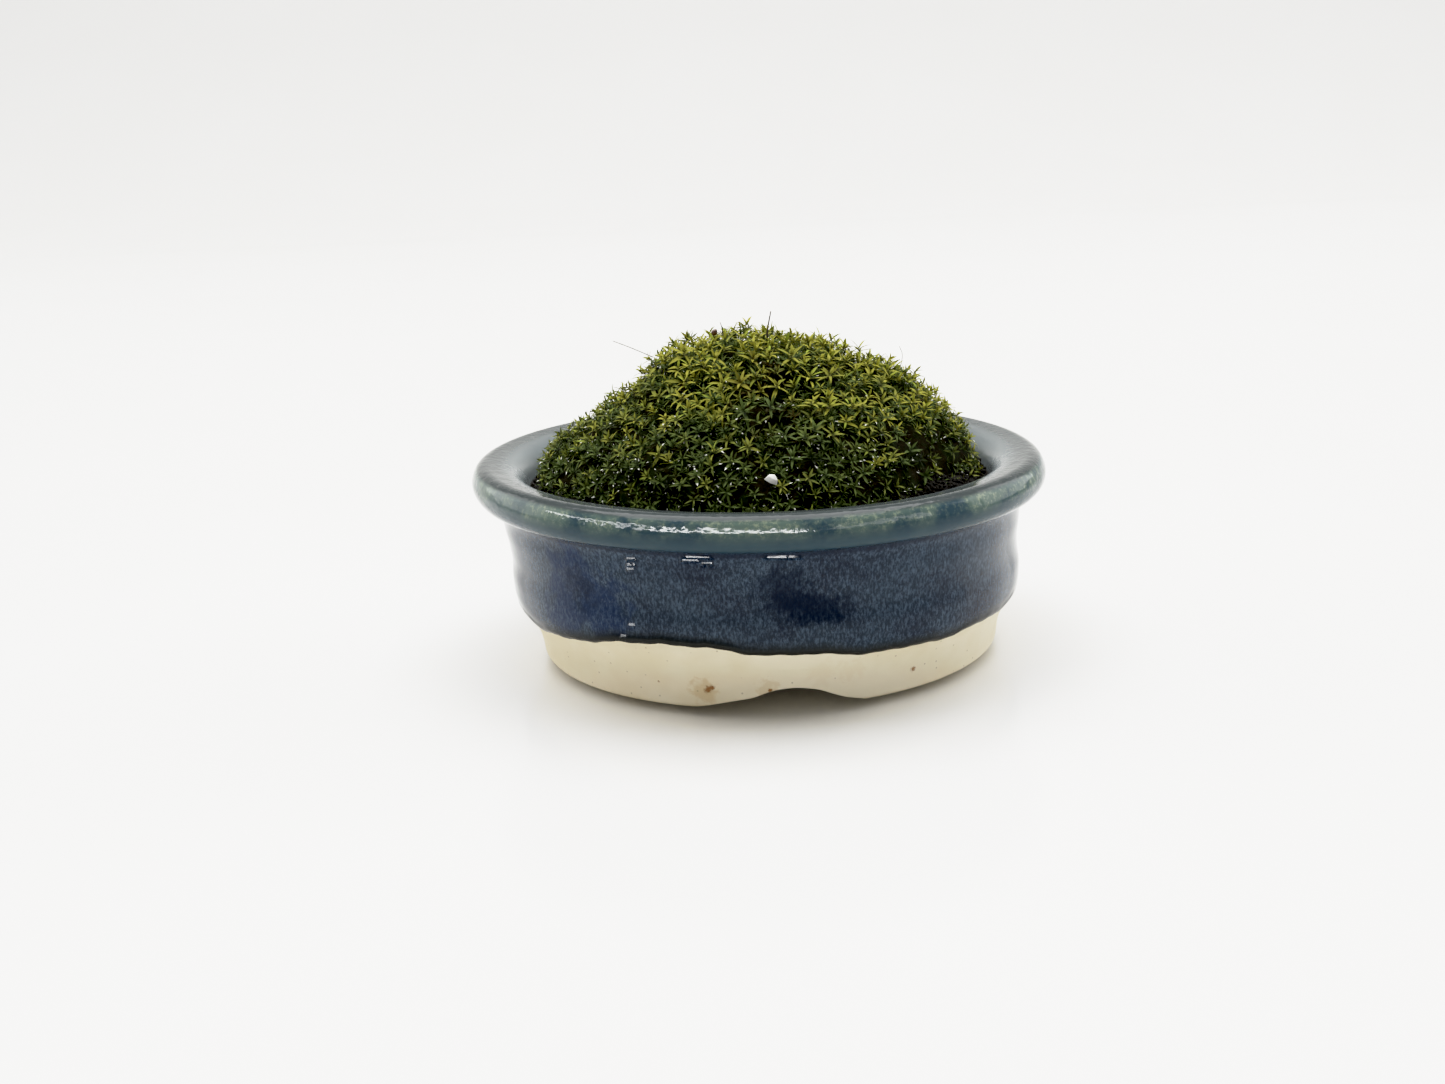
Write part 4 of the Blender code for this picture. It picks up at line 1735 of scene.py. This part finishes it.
@dataclass
class Litter:
    """The small things on the cushion: a spore capsule, a stalk, a few hairs and fibres."""

    capsule_place: Point = (-5.35, -2.0, 45.25)
    capsule_radius: float = 0.42
    capsule_tilt: float = 35.0

    def capsule(self) -> bpy.types.Object:
        """Makes the brown capsule, an egg with a short beak.

        Returns:
            The finished piece.
        """
        builder = bmesh.new()
        radius = self.capsule_radius
        bmesh.ops.create_uvsphere(builder, u_segments=20, v_segments=12, radius=radius)
        for vertex in builder.verts:
            beak = 1.0 - 0.25 * max(0.0, vertex.co.z / radius)
            vertex.co = (vertex.co.x * beak, vertex.co.y * beak, vertex.co.z * 1.25)
        tilt = Matrix.Rotation(math.radians(self.capsule_tilt), 4, "Y")
        stand = Matrix.Translation(self.capsule_place) @ tilt
        bmesh.ops.transform(builder, matrix=stand, verts=builder.verts)
        husk = PlainFinish("brown husk", (0.030, 0.010, 0.004), (0.120, 0.045, 0.015), 0.3, 0.35)
        return finish_piece("spore_capsule", mesh_of(builder, (husk.material(),)))

    def build(self) -> list[bpy.types.Object]:
        """Makes all the small things.

        Returns:
            The finished pieces.
        """
        dark = PlainFinish("dark stalk", (0.012, 0.007, 0.005), (0.045, 0.024, 0.012), 0.3, 0.5)
        pale = PlainFinish("grey fibre", (0.120, 0.110, 0.095), (0.240, 0.225, 0.200), 0.5, 0.5)
        threads = (
            Thread("stalk", ((1.8, -3.1, 44.0), (1.95, -3.1, 45.6), (2.45, -3.1, 47.95)),
                   (0.30, 0.17), dark),
            Thread("spike", ((-4.2, -2.0, 44.4), (-4.3, -2.0, 45.8), (-4.5, -2.0, 46.6)),
                   (0.20, 0.10), dark),
            Thread("fibre_left", ((-14.0, 0.0, 41.9), (-16.8, 0.0, 43.25), (-19.45, 0.0, 44.4)),
                   (0.14, 0.12), pale),
            Thread("fibre_curled", ((-12.4, -2.4, 41.8), (-11.6, -2.4, 43.4), (-10.2, -2.4, 43.1)),
                   (0.10, 0.08), pale),
            Thread("fibre_right", ((20.0, -2.0, 39.0), (20.4, -2.0, 40.9), (20.0, -2.0, 42.2)),
                   (0.10, 0.08), pale),
        )
        return [self.capsule(), *(thread.build() for thread in threads)]


@dataclass
class Studio:
    """A plain pale floor that curves up behind, and soft light from above.

    A lamp's plan is its name, its place and its width and depth in metres, and its watts.
    """

    floor_size: float = 5.0
    curve_start: float = 0.75
    curve_radius: float = 0.5
    curve_rise: float = 1.1
    aim: Point = (0.0, 0.0, 0.02)
    soft_lamps: tuple[LampPlan, ...] = (
        ("lamp_above", (0.0, 0.15, 1.1), (1.3, 0.9), 27.0),
        ("lamp_left", (-0.95, 0.45, 0.45), (0.9, 0.7), 4.5),
        ("lamp_right", (0.95, 0.45, 0.45), (0.9, 0.7), 5.5),
    )
    strip_lamps: tuple[LampPlan, ...] = (
        ("strip_middle", (-0.355, -1.46, 0.70), (1.7, 0.15), 62.0),
        ("strip_left", (-1.40, -0.55, 0.70), (1.5, 0.15), 24.0),
        ("strip_right", (1.10, -1.00, 0.70), (1.3, 0.15), 5.0),
    )
    black: float = 0.006
    white: float = 3.0
    tone_line: tuple[tuple[float, float], ...] = (
        (0.15, 0.15), (0.30, 0.30), (0.45, 0.44), (0.60, 0.57), (0.90, 0.74), (1.20, 0.83),
        (1.70, 0.91), (3.00, 0.97),
    )
    sky_front: float = 0.34
    sky_back: float = 1.2
    sky_turn: Range = (-0.4, 0.5)

    def floor(self) -> bpy.types.Object:
        """Lays the floor, slightly glossy, curving up into a plain backdrop.

        Returns:
            The floor.
        """
        half, start, radius = self.floor_size, self.curve_start, self.curve_radius
        outline = [(0.0, -half, 0.0), (0.0, start, 0.0)]
        outline += [
            (0.0, start + radius * math.sin(a), radius * (1 - math.cos(a)))
            for a in np.linspace(0.05, math.pi / 2, 24)
        ]
        outline.append((0.0, start + radius, radius + self.curve_rise))
        builder = bmesh.new()
        points = [builder.verts.new(point) for point in outline]
        edges = [builder.edges.new(pair) for pair in zip(points, points[1:])]
        bmesh.ops.translate(builder, vec=(-half, 0, 0), verts=points)
        grown = bmesh.ops.extrude_edge_only(builder, edges=edges)["geom"]
        far = [item for item in grown if isinstance(item, bmesh.types.BMVert)]
        bmesh.ops.translate(builder, vec=(2 * half, 0, 0), verts=far)
        mesh = bpy.data.meshes.new("floor")
        builder.to_mesh(mesh)
        builder.free()
        mesh.shade_smooth()
        recipe = Recipe("pale floor")
        drift = recipe.fade(recipe.clouds(90.0, 3.0, 0.5), 0.3, 0.7)
        colour = recipe.blend(drift, (0.800, 0.792, 0.765), (0.812, 0.805, 0.782))
        satin = recipe.finished(Base_Color=colour, Roughness=0.16, Specular_IOR_Level=0.35)
        mesh.materials.append(satin)
        floor = bpy.data.objects.new("floor", mesh)
        bpy.context.scene.collection.objects.link(floor)
        return floor

    def lamp(self, plan: LampPlan) -> bpy.types.Object:
        """Hangs a soft rectangular lamp that points at the studio's aim.

        Args:
            plan: The lamp's plan.

        Returns:
            The lamp.
        """
        name, place, size, power = plan
        data = bpy.data.lights.new(name, "AREA")
        data.shape = "RECTANGLE"
        data.size, data.size_y = size
        data.energy = power
        lamp = bpy.data.objects.new(name, data)
        lamp.location = place
        lamp.rotation_mode = "QUATERNION"
        lamp.rotation_quaternion = (Vector(self.aim) - Vector(place)).to_track_quat("-Z", "Y")
        bpy.context.scene.collection.objects.link(lamp)
        return lamp

    def strips(self, shown_on: Sequence[bpy.types.Object]) -> None:
        """Hangs three low strip lamps that only show as highlights.

        Args:
            shown_on: The pieces that mirror them.
        """
        shiny = bpy.data.collections.new("shiny pieces")
        for piece in shown_on:
            shiny.objects.link(piece)
        for plan in self.strip_lamps:
            strip = self.lamp(plan)
            strip.visible_diffuse = False
            strip.light_linking.receiver_collection = shiny

    def sky(self) -> None:
        """Soft light from all round, weaker from the front."""
        world = bpy.data.worlds.new("studio")
        world.use_nodes = True
        bpy.context.scene.world = world
        tree = world.node_tree
        way = tree.nodes.new("ShaderNodeTexCoord").outputs["Generated"]
        parts = tree.nodes.new("ShaderNodeSeparateXYZ")
        tree.links.new(way, parts.inputs[0])
        ramp = tree.nodes.new("ShaderNodeMapRange")
        tree.links.new(parts.outputs["Y"], ramp.inputs["Value"])
        values = (*self.sky_turn, self.sky_front, self.sky_back)
        for name, value in zip(("From Min", "From Max", "To Min", "To Max"), values):
            ramp.inputs[name].default_value = value
        background = tree.nodes["Background"]
        background.inputs["Color"].default_value = (1.0, 0.995, 0.98, 1.0)
        tree.links.new(ramp.outputs[0], background.inputs["Strength"])

    def build(self, shiny: Sequence[bpy.types.Object]) -> None:
        """Floor, lamps and sky.

        Args:
            shiny: The pieces that mirror the strip lamps.
        """
        self.floor()
        for plan in self.soft_lamps:
            self.lamp(plan)
        self.strips(shiny)
        self.sky()
        self.tones()

    def tones(self) -> None:
        """Holds the bright floor back and deepens the shadows, as a photograph's tones do."""
        view = bpy.context.scene.view_settings
        view.view_transform = "Standard"
        view.use_curve_mapping = True
        curves = view.curve_mapping
        curves.black_level = (self.black, self.black, self.black)
        curves.white_level = (self.white, self.white, self.white)
        line = curves.curves[3]
        line.points[0].location = (0.0, 0.0)
        line.points[1].location = (1.0, self.tone_line[-1][1])
        for light, shown in self.tone_line[:-1]:
            line.points.new(light / self.white, shown)
        curves.update()


@dataclass(frozen=True)
class PhotoCamera:
    """The camera, where the picture was taken from."""

    focal_length: float = 1778.0
    frame_width: float = 1445.0
    sensor: float = 36.0
    distance: float = 253.48
    elevation: float = 14.552
    roll: float = -2.522
    target: Point = (-5.502, 0.0, 14.988)

    def build(self) -> bpy.types.Object:
        """Sets the camera up, its lens worked out from the frame's width in pixels.

        Returns:
            The camera.
        """
        data = bpy.data.cameras.new("camera")
        data.sensor_fit = "HORIZONTAL"
        data.sensor_width = self.sensor
        data.lens = self.focal_length / self.frame_width * self.sensor
        data.clip_start = 0.01
        camera = bpy.data.objects.new("camera", data)
        rise, roll = math.radians(self.elevation), math.radians(self.roll)
        back = Vector((0.0, -math.cos(rise), math.sin(rise)))
        right = Vector((1.0, 0.0, 0.0))
        up = back.cross(right)
        across = right * math.cos(roll) + up * math.sin(roll)
        upright = up * math.cos(roll) - right * math.sin(roll)
        stand = Matrix((across, upright, back)).transposed().to_4x4()
        place = (Vector(self.target) + back * self.distance) * MM
        camera.matrix_world = Matrix.Translation(place) @ stand
        bpy.context.scene.collection.objects.link(camera)
        bpy.context.scene.camera = camera
        return camera


def main() -> None:
    """Builds the pieces in order, then the studio and the camera."""
    logging.basicConfig(level=logging.INFO, format="%(message)s")
    form = MossForm()
    PhotoCamera().build()
    pot = GlazedPot().build()
    soil = SoilBed(form)
    soil.bed()
    soil.loose()
    MossCushion(form).build()
    WhiteGrit().build()
    Litter().build()
    Studio().build([pot])
    bpy.context.view_layer.update()


if __name__ == "__main__":
    main()
